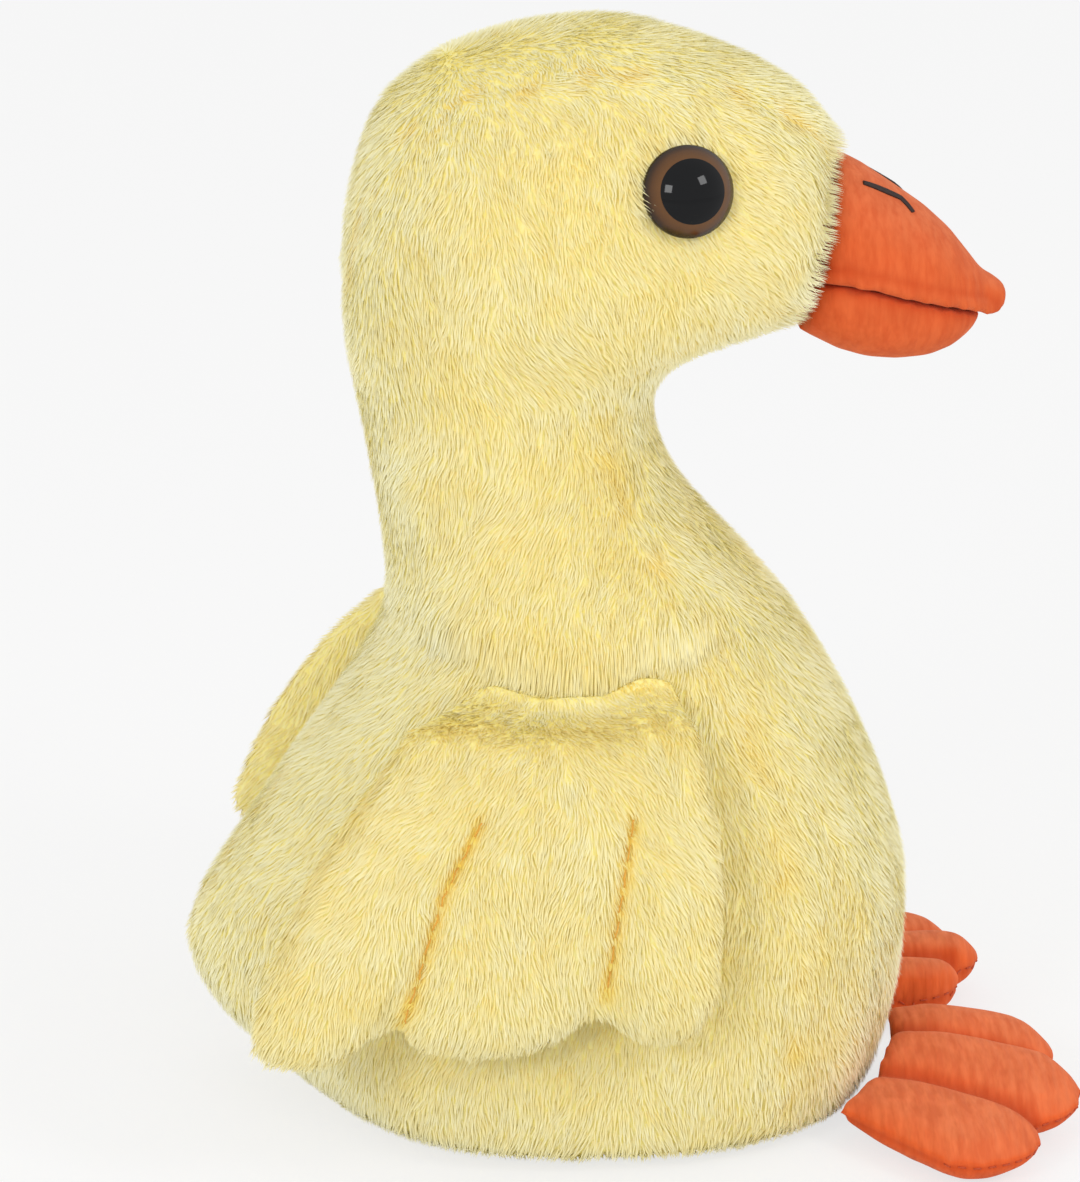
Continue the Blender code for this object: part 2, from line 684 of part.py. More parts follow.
def make_wing(side, word, collection, parent):
    columns, rows = WING_COLUMNS, WING_ROWS
    out = np.array((0.0, 1.0, 0.0))
    outer, inner = [], []
    for row in range(rows + 1):
        reach = row / rows
        places = [TOES * c / columns for c in range(columns + 1)]
        centres = [wing_centre(p, reach) for p in places]
        halves = [wing_thickness(p, reach) / 2.0 for p in places]
        outer.append([c + out * h for c, h in zip(centres, halves)])
        inner.append([c - out * h for c, h in zip(centres, halves)])
    pivot = np.array((0.0, outer[0][0][1], WING_ROOT_Z))
    flip = np.array((1.0, side, 1.0))
    outer = [[(p - pivot) * flip for p in row] for row in outer]
    inner = [[(p - pivot) * flip for p in row] for row in inner]
    finish = ((0.88, 0.72, 0.24), 0.9)
    wing = new_object(f"wing_{word}", *two_sided(outer, inner), finish, collection, parent)
    wing.location = Vector(pivot * flip)
    if side == LEFT:
        wing.location += Vector((WING_LEFT_FORWARD, WING_LEFT_OUT, -WING_LEFT_DROP))
        wing.rotation_euler = (math.radians(WING_LEFT_FLARE), math.radians(WING_LEFT_SWING), 0.0)


def foot_centre(place, reach, word):
    """The middle of the foot's thickness, from its seam on the body to its toes."""
    share = place / TOES
    fall = smooth_step((place - 1.2) / 1.3)
    root_z = FOOT_ROOT_Z[0] + (FOOT_ROOT_Z[1] - FOOT_ROOT_Z[0]) * fall
    tip_z = FOOT_TIP_Z[0] + (FOOT_TIP_Z[1] - FOOT_TIP_Z[0]) * fall
    angle = math.radians(FOOT_ROOT_ANGLES[0] + (FOOT_ROOT_ANGLES[1] - FOOT_ROOT_ANGLES[0]) * share)
    root = body_offset(angle, trunk_station(root_z), -FOOT_SEAT_GAP)
    root[2] = root_z
    heading = math.radians(FOOT_HEADING[word] + FOOT_FAN * (share - 0.5))
    lobe = abs(math.sin(math.pi * place)) ** 0.6
    length = FOOT_REACH[word] * (1.0 - FOOT_NOTCH * (1.0 - lobe))
    tip = np.array((FOOT_CENTRE_X, FOOT_CENTRE_Y, tip_z))
    tip[0] += length * math.cos(heading)
    tip[1] += length * math.sin(heading)
    return root + (tip - root) * reach


def foot_thickness(place, reach):
    across = math.sqrt(max(0.0, 1.0 - abs(2.0 * place / TOES - 1.0) ** 6))
    end = math.sqrt(max(0.0, 1.0 - max(0.0, (reach - 0.72) / 0.28) ** 2))
    root = FOOT_ROOT_SHARE + (1.0 - FOOT_ROOT_SHARE) * smooth_step(reach / 0.35)
    pinch = 1.0 - FOOT_CHANNEL_SHARE * channel(place, FOOT_CHANNEL_WIDTH)
    return FOOT_EDGE_T + (FOOT_T - FOOT_EDGE_T) * across * end * root * pinch


def make_foot(side, word, collection, parent):
    """The foot's padded top and the sole sewn under it."""
    columns, rows = FOOT_COLUMNS, FOOT_ROWS
    flip = np.array((1.0, side, 1.0))
    up = np.array((0.0, 0.0, 1.0))
    layers = {"top": [], "seam_top": [], "seam_low": [], "low": []}
    for row in range(rows + 1):
        reach = row / rows
        places = [TOES * c / columns for c in range(columns + 1)]
        line = {key: [] for key in layers}
        for place in places:
            centre = foot_centre(place, reach, word) * flip
            half = foot_thickness(place, reach) / 2.0
            seam = -half + 2.0 * half * SOLE_SHARE
            line["top"].append(centre + up * (half + SOLE_GAP / 2.0))
            line["seam_top"].append(centre + up * (seam + SOLE_GAP / 2.0))
            line["seam_low"].append(centre + up * (seam - SOLE_GAP / 2.0))
            line["low"].append(centre - up * (half + SOLE_GAP / 2.0))
        for key in layers:
            layers[key].append(line[key])
    orange = ((0.80, 0.17, 0.05), 0.85)
    top = two_sided(layers["top"], layers["seam_top"])
    sole = two_sided(layers["seam_low"], layers["low"])
    new_object(f"foot_top_{word}", *top, orange, collection, parent, 60.0)
    new_object(f"foot_sole_{word}", *sole, orange, collection, parent, 60.0)


def main():
    remove_all()
    collection = new_collection("plush_duckling")
    cutters = new_collection("cutters")
    root = bpy.data.objects.new("duckling_root", None)
    collection.objects.link(root)
    panels = make_panels(collection, root)
    make_base(collection, root)
    make_pouch(collection, root)
    filling = make_filling(collection, root)
    make_beak(collection, root)
    for side, word in ((RIGHT, "right"), (LEFT, "left")):
        panel = panels[f"side_panel_{word}"]
        make_eye(side, word, panel, filling, collection, cutters, root)
        make_nostril(side, word, collection, root)
        make_wing(side, word, collection, root)
        make_foot(side, word, collection, root)


main()
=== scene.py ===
# %% [markdown]
# # A plush duckling and its pile
# The real toy is a stuffed cloth body with a long soft pile, a beak and feet of orange velour, and
# moulded eyes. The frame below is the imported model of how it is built. This script makes what
# shows: the cloth skin under the pile, the pile itself, the velour with its stitches, and the eyes.

# %% Load the frame
import json
import math

import bpy
import numpy as np
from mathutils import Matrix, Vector, noise
from mathutils.bvhtree import BVHTree
from mathutils.kdtree import KDTree

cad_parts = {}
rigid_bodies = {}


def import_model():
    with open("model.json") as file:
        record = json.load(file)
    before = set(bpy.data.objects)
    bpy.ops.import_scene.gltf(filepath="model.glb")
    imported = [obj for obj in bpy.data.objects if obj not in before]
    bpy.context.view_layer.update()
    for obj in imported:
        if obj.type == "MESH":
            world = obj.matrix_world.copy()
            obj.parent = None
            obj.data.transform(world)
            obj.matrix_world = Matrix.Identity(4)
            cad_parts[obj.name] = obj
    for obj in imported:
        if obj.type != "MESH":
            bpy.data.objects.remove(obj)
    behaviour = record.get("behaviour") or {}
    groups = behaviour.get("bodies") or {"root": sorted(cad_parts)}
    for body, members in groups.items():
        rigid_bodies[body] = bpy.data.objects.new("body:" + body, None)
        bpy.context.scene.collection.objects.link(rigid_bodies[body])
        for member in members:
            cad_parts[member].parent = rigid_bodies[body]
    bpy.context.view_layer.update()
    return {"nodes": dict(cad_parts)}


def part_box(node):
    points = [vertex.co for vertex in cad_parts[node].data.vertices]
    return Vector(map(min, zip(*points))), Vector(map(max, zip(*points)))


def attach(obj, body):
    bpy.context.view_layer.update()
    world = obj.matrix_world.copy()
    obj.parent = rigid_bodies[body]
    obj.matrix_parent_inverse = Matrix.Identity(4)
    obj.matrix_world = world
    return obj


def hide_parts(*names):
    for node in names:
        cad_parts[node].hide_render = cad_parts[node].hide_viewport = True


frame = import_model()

MM = 0.001
scene = bpy.context.scene
nodes = frame["nodes"]

# %% [markdown]
# ## The camera
# The photo was taken from the duckling's right side, a little from above, with a long lens. So the
# camera stands 1.1 m away, turned 5 degrees and raised 18 degrees. Its lens is worked out from the
# scale of the picture at the duckling, which keeps every later measure in real sizes.

# %% Camera
PHOTO_WIDTH, PHOTO_HEIGHT = 1080, 1182
MM_PER_PIXEL = 0.157 * MM
TARGET = Vector((-0.0032, 0.0, 0.0804))
CAMERA_DISTANCE = 1.1
CAMERA_TURN = math.radians(-5.0)
CAMERA_RISE = math.radians(18.0)
SENSOR = 36.0

right = Vector((math.cos(CAMERA_TURN), math.sin(CAMERA_TURN), 0.0))
back = Vector((
    math.sin(CAMERA_TURN) * math.cos(CAMERA_RISE),
    -math.cos(CAMERA_TURN) * math.cos(CAMERA_RISE),
    math.sin(CAMERA_RISE),
))
up = back.cross(right)
eye_point = TARGET + back * CAMERA_DISTANCE
camera_data = bpy.data.cameras.new("camera")
camera_data.sensor_width = SENSOR
camera_data.lens = SENSOR * CAMERA_DISTANCE / (PHOTO_HEIGHT * MM_PER_PIXEL)
camera = bpy.data.objects.new("camera", camera_data)
camera.location = eye_point
camera.rotation_euler = back.to_track_quat("Z", "Y").to_euler()
scene.collection.objects.link(camera)
scene.camera = camera
scene.view_settings.view_transform = "Standard"
print("lens", round(camera_data.lens, 1), "mm")


def ray_through(pixel):
    """The direction from the camera through a pixel of the photo."""
    place = TARGET + right * (pixel[0] - PHOTO_WIDTH / 2) * MM_PER_PIXEL
    place += up * (PHOTO_HEIGHT / 2 - pixel[1]) * MM_PER_PIXEL
    return (place - eye_point).normalized()


# %% [markdown]
# ## Colours and nodes
# Colours are easier to choose as the numbers a picture shows, from 0 to 255. Shaders want linear
# light, so one small helper turns one into the other. A material is a network of nodes, and the
# other helpers make its nodes with their settings and wire them up from a short table.

# %% Colour helper
WHITE = (1.0, 1.0, 1.0, 1.0)


def colour(red, green, blue):
    """A picture's colour as linear light, with full alpha."""
    shares = [value / 255.0 for value in (red, green, blue)]
    linear = [s / 12.92 if s <= 0.04045 else ((s + 0.055) / 1.055) ** 2.4 for s in shares]
    return (*linear, 1.0)


# %% Node helpers
def set_inputs(node, values):
    for key, value in values.items():
        node.inputs[key.replace("_", " ")].default_value = value


def new_node(tree, kind, settings=None, **values):
    """A node, with its settings, and its inputs by name."""
    node = tree.nodes.new("ShaderNode" + kind)
    for key, value in (settings or {}).items():
        setattr(node, key, value)
    set_inputs(node, values)
    return node


def new_math(tree, operation, place, value):
    """A sum of numbers, with one of its inputs set."""
    node = new_node(tree, "Math", {"operation": operation})
    node.inputs[place].default_value = value
    return node


def new_mix(tree, first=None, second=None):
    """A mix from one colour to another."""
    node = new_node(tree, "Mix", {"data_type": "RGBA"})
    for place, shade in ((6, first), (7, second)):
        if shade:
            node.inputs[place].default_value = colour(*shade)
    return node


def wire(tree, *rows):
    """Links nodes: each row names a node and its output, and the node and the input it feeds."""
    for source, output, target, place in rows:
        tree.links.new(source.outputs[output], target.inputs[place])


def new_material(name, **values):
    """A material with its nodes and its main shader, whose own values are set by name."""
    material = bpy.data.materials.new(name)
    material.use_nodes = True
    shader = material.node_tree.nodes["Principled BSDF"]
    set_inputs(shader, values)
    return material, material.node_tree, shader


# %% [markdown]
# ## Floor and light
# The studio is a white sweep with soft light from both sides of the camera. A big white floor keeps
# the duckling's shadow, and it glows a little where the camera sees it, as the world is white
# there. The world gives most of the light, at a level at which a colour renders about as it is
# written. The two lamps are square, because the eye mirrors them as two small squares.

# %% Floor
FLOOR_HALF = 3.0
FLOOR_GLOW = 0.72
FLOOR_WHITE = (0.92, 0.92, 0.92, 1.0)


def rays_that_see(tree):
    """A node that gives 1 for rays that the camera sees straight, mirrored or through glass."""
    path = new_node(tree, "LightPath")
    seen, output = path, "Is Camera Ray"
    for ray in ("Is Glossy Ray", "Is Transmission Ray"):
        either = new_node(tree, "Math", {"operation": "MAXIMUM"})
        wire(tree, (seen, output, either, 0), (path, ray, either, 1))
        seen, output = either, 0
    return seen


def make_floor_material():
    material, tree, shader = new_material("white_sweep", Base_Color=FLOOR_WHITE, Roughness=0.9)
    glow = new_node(tree, "Emission", Color=WHITE)
    share = new_math(tree, "MULTIPLY", 1, FLOOR_GLOW)
    blend = new_node(tree, "MixShader")
    wire(
        tree, (rays_that_see(tree), 0, share, 0), (share, 0, blend, 0), (shader, 0, blend, 1),
        (glow, 0, blend, 2), (blend, 0, tree.nodes["Material Output"], "Surface"),
    )
    return material


bpy.ops.mesh.primitive_plane_add(size=2.0 * FLOOR_HALF, location=(0.0, 0.0, 0.0))
floor = bpy.context.object
floor.name = "floor"
floor.data.materials.append(make_floor_material())

# %% World
WORLD_LIGHT = 0.735


def make_world():
    world = bpy.data.worlds.new("white_studio")
    world.use_nodes = True
    tree = world.node_tree
    ground = tree.nodes["Background"]
    ground.inputs["Color"].default_value = WHITE
    strength = new_node(tree, "MapRange", To_Min=WORLD_LIGHT, To_Max=1.0)
    wire(tree, (rays_that_see(tree), 0, strength, "Value"))
    wire(tree, (strength, "Result", ground, "Strength"))
    return world


scene.world = make_world()

# %% Lamps
LAMP_DISTANCE = 0.95
LAMP_SIZE = 0.24
LAMPS = (("lamp_left", -32.0, 23.0, 1.8), ("lamp_right", 47.5, 34.5, 1.6))


def make_lamp(name, turn, rise, power):
    """A square lamp aimed at the duckling's middle from an angle round it and above it."""
    data = bpy.data.lights.new(name, "AREA")
    data.shape = "SQUARE"
    data.size = LAMP_SIZE
    data.energy = power
    lamp = bpy.data.objects.new(name, data)
    turn, rise = math.radians(turn), math.radians(rise)
    away = Vector((
        math.sin(turn) * math.cos(rise), -math.cos(turn) * math.cos(rise), math.sin(rise)
    ))
    lamp.location = TARGET + away * LAMP_DISTANCE
    lamp.rotation_euler = away.to_track_quat("Z", "Y").to_euler()
    scene.collection.objects.link(lamp)


for lamp in LAMPS:
    make_lamp(*lamp)
print("lamps:", len(LAMPS))

# %% [markdown]
# ## Small helpers for hand work
# Operators act on whatever is selected, so every step starts by clearing the selection. Modifiers
# are applied at once, which keeps each finished piece a plain mesh at the origin.

# %% Hand-work helpers
MERGE_WITHIN = 0.001 * MM


def work_on(piece):
    """Selects one piece alone."""
    for thing in list(bpy.context.selected_objects):
        thing.select_set(False)
    piece.select_set(True)
    bpy.context.view_layer.objects.active = piece


def shape_with(piece, kind, **settings):
    """Adds a modifier, sets it and applies it."""
    work_on(piece)
    step = piece.modifiers.new(kind.title(), kind)
    for key, value in settings.items():
        setattr(step, key, value)
    bpy.ops.object.modifier_apply(modifier=step.name)


def edit_mesh(*steps):
    """Runs mesh operators, each with its settings, on the whole piece that is worked on."""
    bpy.ops.object.mode_set(mode="EDIT")
    bpy.ops.mesh.select_all(action="SELECT")
    for step, settings in steps:
        step(**settings)
    bpy.ops.object.mode_set(mode="OBJECT")


def points_of(piece):
    values = np.empty(len(piece.data.vertices) * 3)
    piece.data.vertices.foreach_get("co", values)
    return values.reshape(-1, 3)


def normals_of(piece):
    values = np.empty(len(piece.data.vertices) * 3)
    piece.data.vertex_normals.foreach_get("vector", values)
    return values.reshape(-1, 3)


def set_points(piece, points):
    piece.data.vertices.foreach_set("co", np.ascontiguousarray(points, dtype=np.float32).ravel())
    piece.data.update()


def set_attribute(piece, name, values):
    layer = piece.data.attributes.new(name, "FLOAT", "POINT")
    layer.data.foreach_set("value", np.ascontiguousarray(values, dtype=np.float32))


def surface_tree(piece):
    points = [v.co.copy() for v in piece.data.vertices]
    return BVHTree.FromPolygons(points, [tuple(p.vertices) for p in piece.data.polygons])


def gaps_to(tree, points):
    """How far each point lies from a surface."""
    return np.array([tree.find_nearest(Vector(p))[3] for p in points])


def corners_of(name):
    """The low and the high corner of a node's box."""
    return [np.array(corner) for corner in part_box(name)]


def drift(points, size, seed):
    """Smooth noise between about -1 and 1 at each point."""
    shift = Vector((seed * 3.7, seed * 1.3, seed * 7.1))
    return np.array([noise.noise(Vector(p) / size + shift) for p in points])


def ease(values, low, high):
    """0 below low, 1 above high, and a smooth way between."""
    share = np.clip((values - low) / (high - low), 0.0, 1.0)
    return share * share * (3.0 - 2.0 * share)


def hump(values, middle, width):
    """1 at a middle value, falling off to both sides."""
    return np.exp(-(((values - middle) / width) ** 2))


def joined_copy(name, names):
    """One merged copy of some nodes of the frame, to be shaped further."""
    copies = []
    for node in names:
        copy = nodes[node].copy()
        copy.data = copy.data.copy()
        copy.parent = None
        for key in list(copy.keys()):
            del copy[key]
        scene.collection.objects.link(copy)
        copies.append(copy)
    work_on(copies[0])
    for copy in copies:
        copy.select_set(True)
    if len(copies) > 1:
        bpy.ops.object.join()
    piece = copies[0]
    piece.name = name
    piece.data.name = name
    piece.data.materials.clear()
    edit_mesh((bpy.ops.mesh.remove_doubles, {"threshold": MERGE_WITHIN}))
    return piece


def keep_largest(piece):
    """Drops the small shells that remeshing leaves inside."""
    work_on(piece)
    edit_mesh((bpy.ops.mesh.separate, {"type": "LOOSE"}))
    bpy.context.view_layer.update()
    parts = sorted(bpy.context.selected_objects, key=lambda part: part.dimensions.length)
    name = piece.name
    kept = parts.pop()
    for part in parts:
        bpy.data.objects.remove(part)
    kept.name = name
    return kept


def outline_skin(name, names, voxel, rounding):
    """The joined outline of some nodes as one closed and rounded skin."""
    piece = joined_copy(name, names)
    shape_with(piece, "REMESH", mode="VOXEL", voxel_size=voxel, use_smooth_shade=True)
    piece = keep_largest(piece)
    shape_with(piece, "SMOOTH", factor=0.5, iterations=rounding)
    return piece


# %% [markdown]
# ## Stuffing
# A stuffed piece is tight: its filling presses the cloth out between the seams. Blender's cloth
# does the same with pressure and no gravity. It runs for twenty frames, and no point may move
# further than a cap, so the piece keeps its size. One subdivision then rounds the facets.

# %% Stuffing helper
STUFFING_FRAMES = 20
STUFFING_PRESSURE = 4.0
STUFFING_QUALITY = 4


def press_out(piece, cap):
    """Presses a closed piece out like filling does, by no more than cap."""
    before = points_of(piece)
    cloth = piece.modifiers.new("Stuffing", "CLOTH")
    cloth.settings.use_pressure = True
    cloth.settings.uniform_pressure_force = STUFFING_PRESSURE
    cloth.settings.effector_weights.gravity = 0.0
    cloth.settings.quality = STUFFING_QUALITY
    cloth.collision_settings.use_collision = False
    cloth.point_cache.frame_end = STUFFING_FRAMES
    for step in range(1, STUFFING_FRAMES + 1):
        scene.frame_set(step)
    work_on(piece)
    bpy.ops.object.modifier_apply(modifier=cloth.name)
    move = points_of(piece) - before
    reach = np.linalg.norm(move, axis=1)
    share = np.minimum(1.0, cap / np.maximum(reach, 1e-9))
    set_points(piece, before + move * share[:, None])
    scene.frame_set(1)
    print(piece.name, "stuffed, moved up to", round(float((reach * share).max()) * 1000, 2), "mm")


def stuff(piece, cap):
    press_out(piece, cap)
    shape_with(piece, "SUBSURF", levels=1, render_levels=1)


# %% [markdown]
# ## The cloth skin of the body
# Under the pile lies a knitted backing. The frame's panels are as thick as cloth and pile together,
# so the skin is their joined outline, rounded and drawn in by the depth of the pile. Remeshing in
# small cubes joins the panels to one closed skin, which is then stuffed and subdivided.

# %% Body skin
BODY_PANELS = ("side_panel_right", "side_panel_left", "breast_panel", "crown_gusset", "base_panel")
BODY_INSIDE = ("fibre_filling", "bean_pouch")
SKIN_VOXEL = 3.0 * MM
SKIN_ROUNDING = 6
PILE_DEPTH = 0.95 * MM
SKIN_CAP = 0.9 * MM

body_skin = outline_skin("body_skin", BODY_PANELS + BODY_INSIDE, SKIN_VOXEL, SKIN_ROUNDING)
shape_with(body_skin, "DISPLACE", strength=-PILE_DEPTH, mid_level=0.0)
stuff(body_skin, SKIN_CAP)
print("body skin:", len(body_skin.data.polygons), "faces")

# %% [markdown]
# ## Seams
# A seam is where two panels meet, so a point's distance to its second nearest panel tells how close
# the seam is. The skin is drawn in along it, and later the pile there is shorter, and painted shade
# deepens its colour. The real seams show only here and there between the tufts, so the strength
# comes and goes.

# %% Seams of the body
SEAM_HALF_WIDTH = 2.4 * MM
SEAM_DEPTH = 0.5 * MM
SEAM_EDGE = 0.6 * MM
SEAM_SHOWS = {"crown_gusset": 0.55, "breast_panel": 0.4, "base_panel": 0.15}
BACK_SEAM_SHOWS = 0.3
SEAM_PATCH = 5.0 * MM
SEAM_COMES, SEAM_SHOWN = -0.25, 0.3

panel_trees = {name: surface_tree(nodes[name]) for name in BODY_PANELS}


def seam_values(points):
    """How strongly a seam shows at each point, from 0 to 1, and the panel that each is on."""
    gaps = np.stack([gaps_to(panel_trees[name], points) for name in BODY_PANELS], axis=1)
    order = np.argsort(gaps, axis=1)
    first, second = order[:, 0], order[:, 1]
    reach = np.take_along_axis(gaps, order[:, 1:2], axis=1)[:, 0]
    shows = np.array([SEAM_SHOWS.get(name, BACK_SEAM_SHOWS) for name in BODY_PANELS])
    strength = np.maximum(shows[first], shows[second])
    both_sides = (first < 2) & (second < 2)
    strength[both_sides] = BACK_SEAM_SHOWS
    strength *= ease(drift(points, SEAM_PATCH, 3), SEAM_COMES, SEAM_SHOWN)
    return strength * hump(np.maximum(reach - SEAM_EDGE, 0.0), 0.0, SEAM_HALF_WIDTH), first


body_points = points_of(body_skin)
body_seam, body_panel = seam_values(body_points)
set_points(body_skin, body_points - normals_of(body_skin) * (body_seam * SEAM_DEPTH)[:, None])
print("seam values up to", round(float(body_seam.max()), 2))

# %% [markdown]
# ## The skins of the wings
# Each wing is two layers of pile cloth with a little filling, sewn round its edge and through
# twice, which makes three lobes. The skin is the node's outline, drawn in by the pile: at the rim
# along the wing, and elsewhere through its thickness, by less than a third of it where it is thin.
# The real wing is sewn into the body along its upper edge, which sags in a shallow fold. So the
# root is bent to that fold and laid onto the body: the inner layer just under its skin, and the
# outer layer a millimetre above it. The lines are drawn on the photo and thrown onto the wing.

# %% Stitched lines of the wings
REAR_STITCH = ((482, 822), (467, 849), (443, 897), (429, 943), (411, 1002), (400, 1036))
FRONT_STITCH = ((634, 820), (628, 857), (622, 897), (613, 950), (606, 1000))
SIDES = ("right", "left")


def hits_along(pixels, tree):
    """Where the camera's rays through some pixels meet a surface."""
    found = [tree.ray_cast(eye_point, ray_through(pixel))[0] for pixel in pixels]
    return np.array([point for point in found if point is not None])


def gaps_to_path(points, path):
    """How far each point lies from a line of points, counted in as many axes as both have."""
    gaps = []
    for start, end in zip(path[:-1], path[1:]):
        along = end - start
        share = np.clip(((points - start) @ along) / max(along @ along, 1e-12), 0.0, 1.0)
        gaps.append(np.linalg.norm(points - start - share[:, None] * along, axis=1))
    return np.min(gaps, axis=0)


wing_tree = surface_tree(nodes["wing_right"])
stitch_paths = {"right": [hits_along(line, wing_tree) for line in (REAR_STITCH, FRONT_STITCH)]}


def mirrored_path(path):
    """The same line on the left wing, set by the boxes of the two wings."""
    low_right, high_right = corners_of("wing_right")
    low_left, high_left = corners_of("wing_left")
    share = (path - low_right) / (high_right - low_right)
    share[:, 1] = 1.0 - share[:, 1]
    return low_left + share * (high_left - low_left)


stitch_paths["left"] = [mirrored_path(path) for path in stitch_paths["right"]]
print("stitched lines:", [len(path) for path in stitch_paths["right"]], "points")

# %% Wing skins
WING_VOXEL = 1.9 * MM
WING_ROUNDING = 4
WING_RIM_IN = 1.3 * MM
WING_PILE_DEPTH = 0.85 * MM
WING_THIN_SHARE = 0.3
WING_CAP = 0.7 * MM
STITCH_HALF_WIDTH = 1.1 * MM
STITCH_DEPTH = 0.6 * MM
FOLD_REACH = 14.0 * MM
SEWN_REACH = 9.0 * MM
ROOT_BURIED = -0.6 * MM
ROOT_PROUD = 1.0 * MM
FOLD_AT = np.array((-17.5, -7.6, 3.4, 9.7, 16.4)) * MM
FOLD_RISE = np.array((0.5, -2.5, -2.5, 0.5, 0.5)) * MM
JUST_INSIDE = 0.05 * MM


def thickness_at(piece, points, normals):
    """The way through the piece from each of its points."""
    tree = surface_tree(piece)
    deep = []
    for point, normal in zip(points, normals):
        start = Vector(point - normal * JUST_INSIDE)
        hit = tree.ray_cast(start, Vector(-normal))
        deep.append(hit[3] if hit[0] is not None else 0.0)
    return np.array(deep)


body_tree = surface_tree(body_skin)


def folded_root(points, normals, top):
    """The wing's root with the shallow fold of its edge, laid onto the body where it is sewn in."""
    below = top - points[:, 2]
    moved = points.copy()
    fold = np.interp(points[:, 0], FOLD_AT, FOLD_RISE)
    moved[:, 2] += fold * (1.0 - ease(below, 0.0, FOLD_REACH))
    share = 1.0 - ease(below, 0.0, SEWN_REACH)
    for place in np.flatnonzero(share > 0.01):
        spot, normal = body_tree.find_nearest(Vector(moved[place]))[:2]
        outer = ease(normals[place] @ normal, -0.3, 0.5)
        level = ROOT_BURIED + (ROOT_PROUD - ROOT_BURIED) * outer
        if (Vector(moved[place]) - spot).dot(normal) > level:
            moved[place] += (np.array(spot + normal * level) - moved[place]) * share[place]
    return moved


def make_wing_skin(word):
    node = f"wing_{word}"
    wing = outline_skin(f"wing_skin_{word}", (node,), WING_VOXEL, WING_ROUNDING)
    low, high = corners_of(node)
    points = points_of(wing)
    middle = (low[0] + high[0]) / 2.0
    length, height = high[0] - low[0], high[2] - low[2]
    points[:, 0] = middle + (points[:, 0] - middle) * (1.0 - 2.0 * WING_RIM_IN / length)
    points[:, 2] = high[2] + (points[:, 2] - high[2]) * (1.0 - WING_RIM_IN / height)
    set_points(wing, points)
    normals = normals_of(wing)
    deep = np.minimum(WING_PILE_DEPTH, WING_THIN_SHARE * thickness_at(wing, points, normals))
    set_points(wing, points - normals * deep[:, None])
    stuff(wing, WING_CAP)
    set_points(wing, folded_root(points_of(wing), normals_of(wing), high[2]))
    points, normals = points_of(wing), normals_of(wing)
    gaps = [gaps_to_path(points[:, ::2], path[:, ::2]) for path in stitch_paths[word]]
    stitch = hump(np.min(gaps, axis=0), 0.0, STITCH_HALF_WIDTH)
    set_points(wing, points - normals * (stitch * STITCH_DEPTH)[:, None])
    print(wing.name, len(wing.data.polygons), "faces")
    return wing, stitch


wing_skins = {}
wing_stitch = {}
for word in SIDES:
    wing_skins[word], wing_stitch[word] = make_wing_skin(word)

# %% [markdown]
# ## Shared effects for cloth
# Dyed cloth is never one even colour, and knitted or napped cloth has a fine relief. Both effects
# are used by several materials, so each is a node group, built once, that gives a colour or a
# height.

# %% Node groups
def new_group(name, inputs, outputs):
    """An empty node group with named inputs and outputs."""
    group = bpy.data.node_groups.new(name, "ShaderNodeTree")
    for side, sockets in (("INPUT", inputs), ("OUTPUT", outputs)):
        for label, kind, value in sockets:
            kind = "NodeSocket" + kind
            socket = group.interface.new_socket(label, in_out=side, socket_type=kind)
            if value is not None:
                socket.default_value = value
    return group, group.nodes.new("NodeGroupInput"), group.nodes.new("NodeGroupOutput")


def use_group(tree, group, **values):
    node = tree.nodes.new("ShaderNodeGroup")
    node.node_tree = group
    set_inputs(node, values)
    return node


# %% Uneven dye
def make_uneven_dye():
    """A colour that wanders a little lighter and darker over the cloth."""
    group, inside, outside = new_group(
        "uneven_dye",
        (("Vector", "Vector", None), ("Color", "Color", None), ("Size", "Float", 120.0),
         ("Amount", "Float", 0.1)),
        (("Color", "Color", None),),
    )
    clouds = new_node(group, "TexNoise", Detail=3.0)
    spread = new_math(group, "SUBTRACT", 1, 0.5)
    amount = new_math(group, "MULTIPLY_ADD", 2, 1.0)
    scaled = new_node(group, "VectorMath", {"operation": "SCALE"})
    wire(
        group, (inside, "Vector", clouds, "Vector"), (inside, "Size", clouds, "Scale"),
        (clouds, 0, spread, 0), (spread, 0, amount, 0), (inside, "Amount", amount, 1),
        (inside, "Color", scaled, 0), (amount, 0, scaled, "Scale"), (scaled, 0, outside, "Color"),
    )
    return group


uneven_dye = make_uneven_dye()

# %% Short nap
def make_short_nap():
    """Fine streaks, stretched along one axis, as a mask and a height."""
    group, inside, outside = new_group(
        "short_nap",
        (("Vector", "Vector", None), ("Stretch", "Vector", (1.0, 1.0, 1.0)),
         ("Size", "Float", 900.0)),
        (("Mask", "Float", None), ("Height", "Float", None)),
    )
    turned = new_node(group, "VectorMath", {"operation": "MULTIPLY"})
    streaks = new_node(group, "TexNoise", Detail=2.0, Roughness=0.6)
    sharper = new_node(group, "MapRange", From_Min=0.35, From_Max=0.65)
    wire(
        group, (inside, "Vector", turned, 0), (inside, "Stretch", turned, 1),
        (turned, 0, streaks, "Vector"), (inside, "Size", streaks, "Scale"),
        (streaks, 0, sharper, "Value"), (sharper, "Result", outside, "Mask"),
        (streaks, 0, outside, "Height"),
    )
    return group


short_nap = make_short_nap()
print("node groups:", [group.name for group in bpy.data.node_groups])

# %% [markdown]
# ## Pile and backing
# Long pile is dyed all through but looks deep yellow at the roots, where little light gets in, and
# pale at the tips. Each tuft carries a UV map: across it runs from a deep tint to a pale one, and
# along it from root to tip. The material only reads that map, so one material serves every tuft.
# The backing under it is bright too, because it stands for the fibres that lie between the tufts.

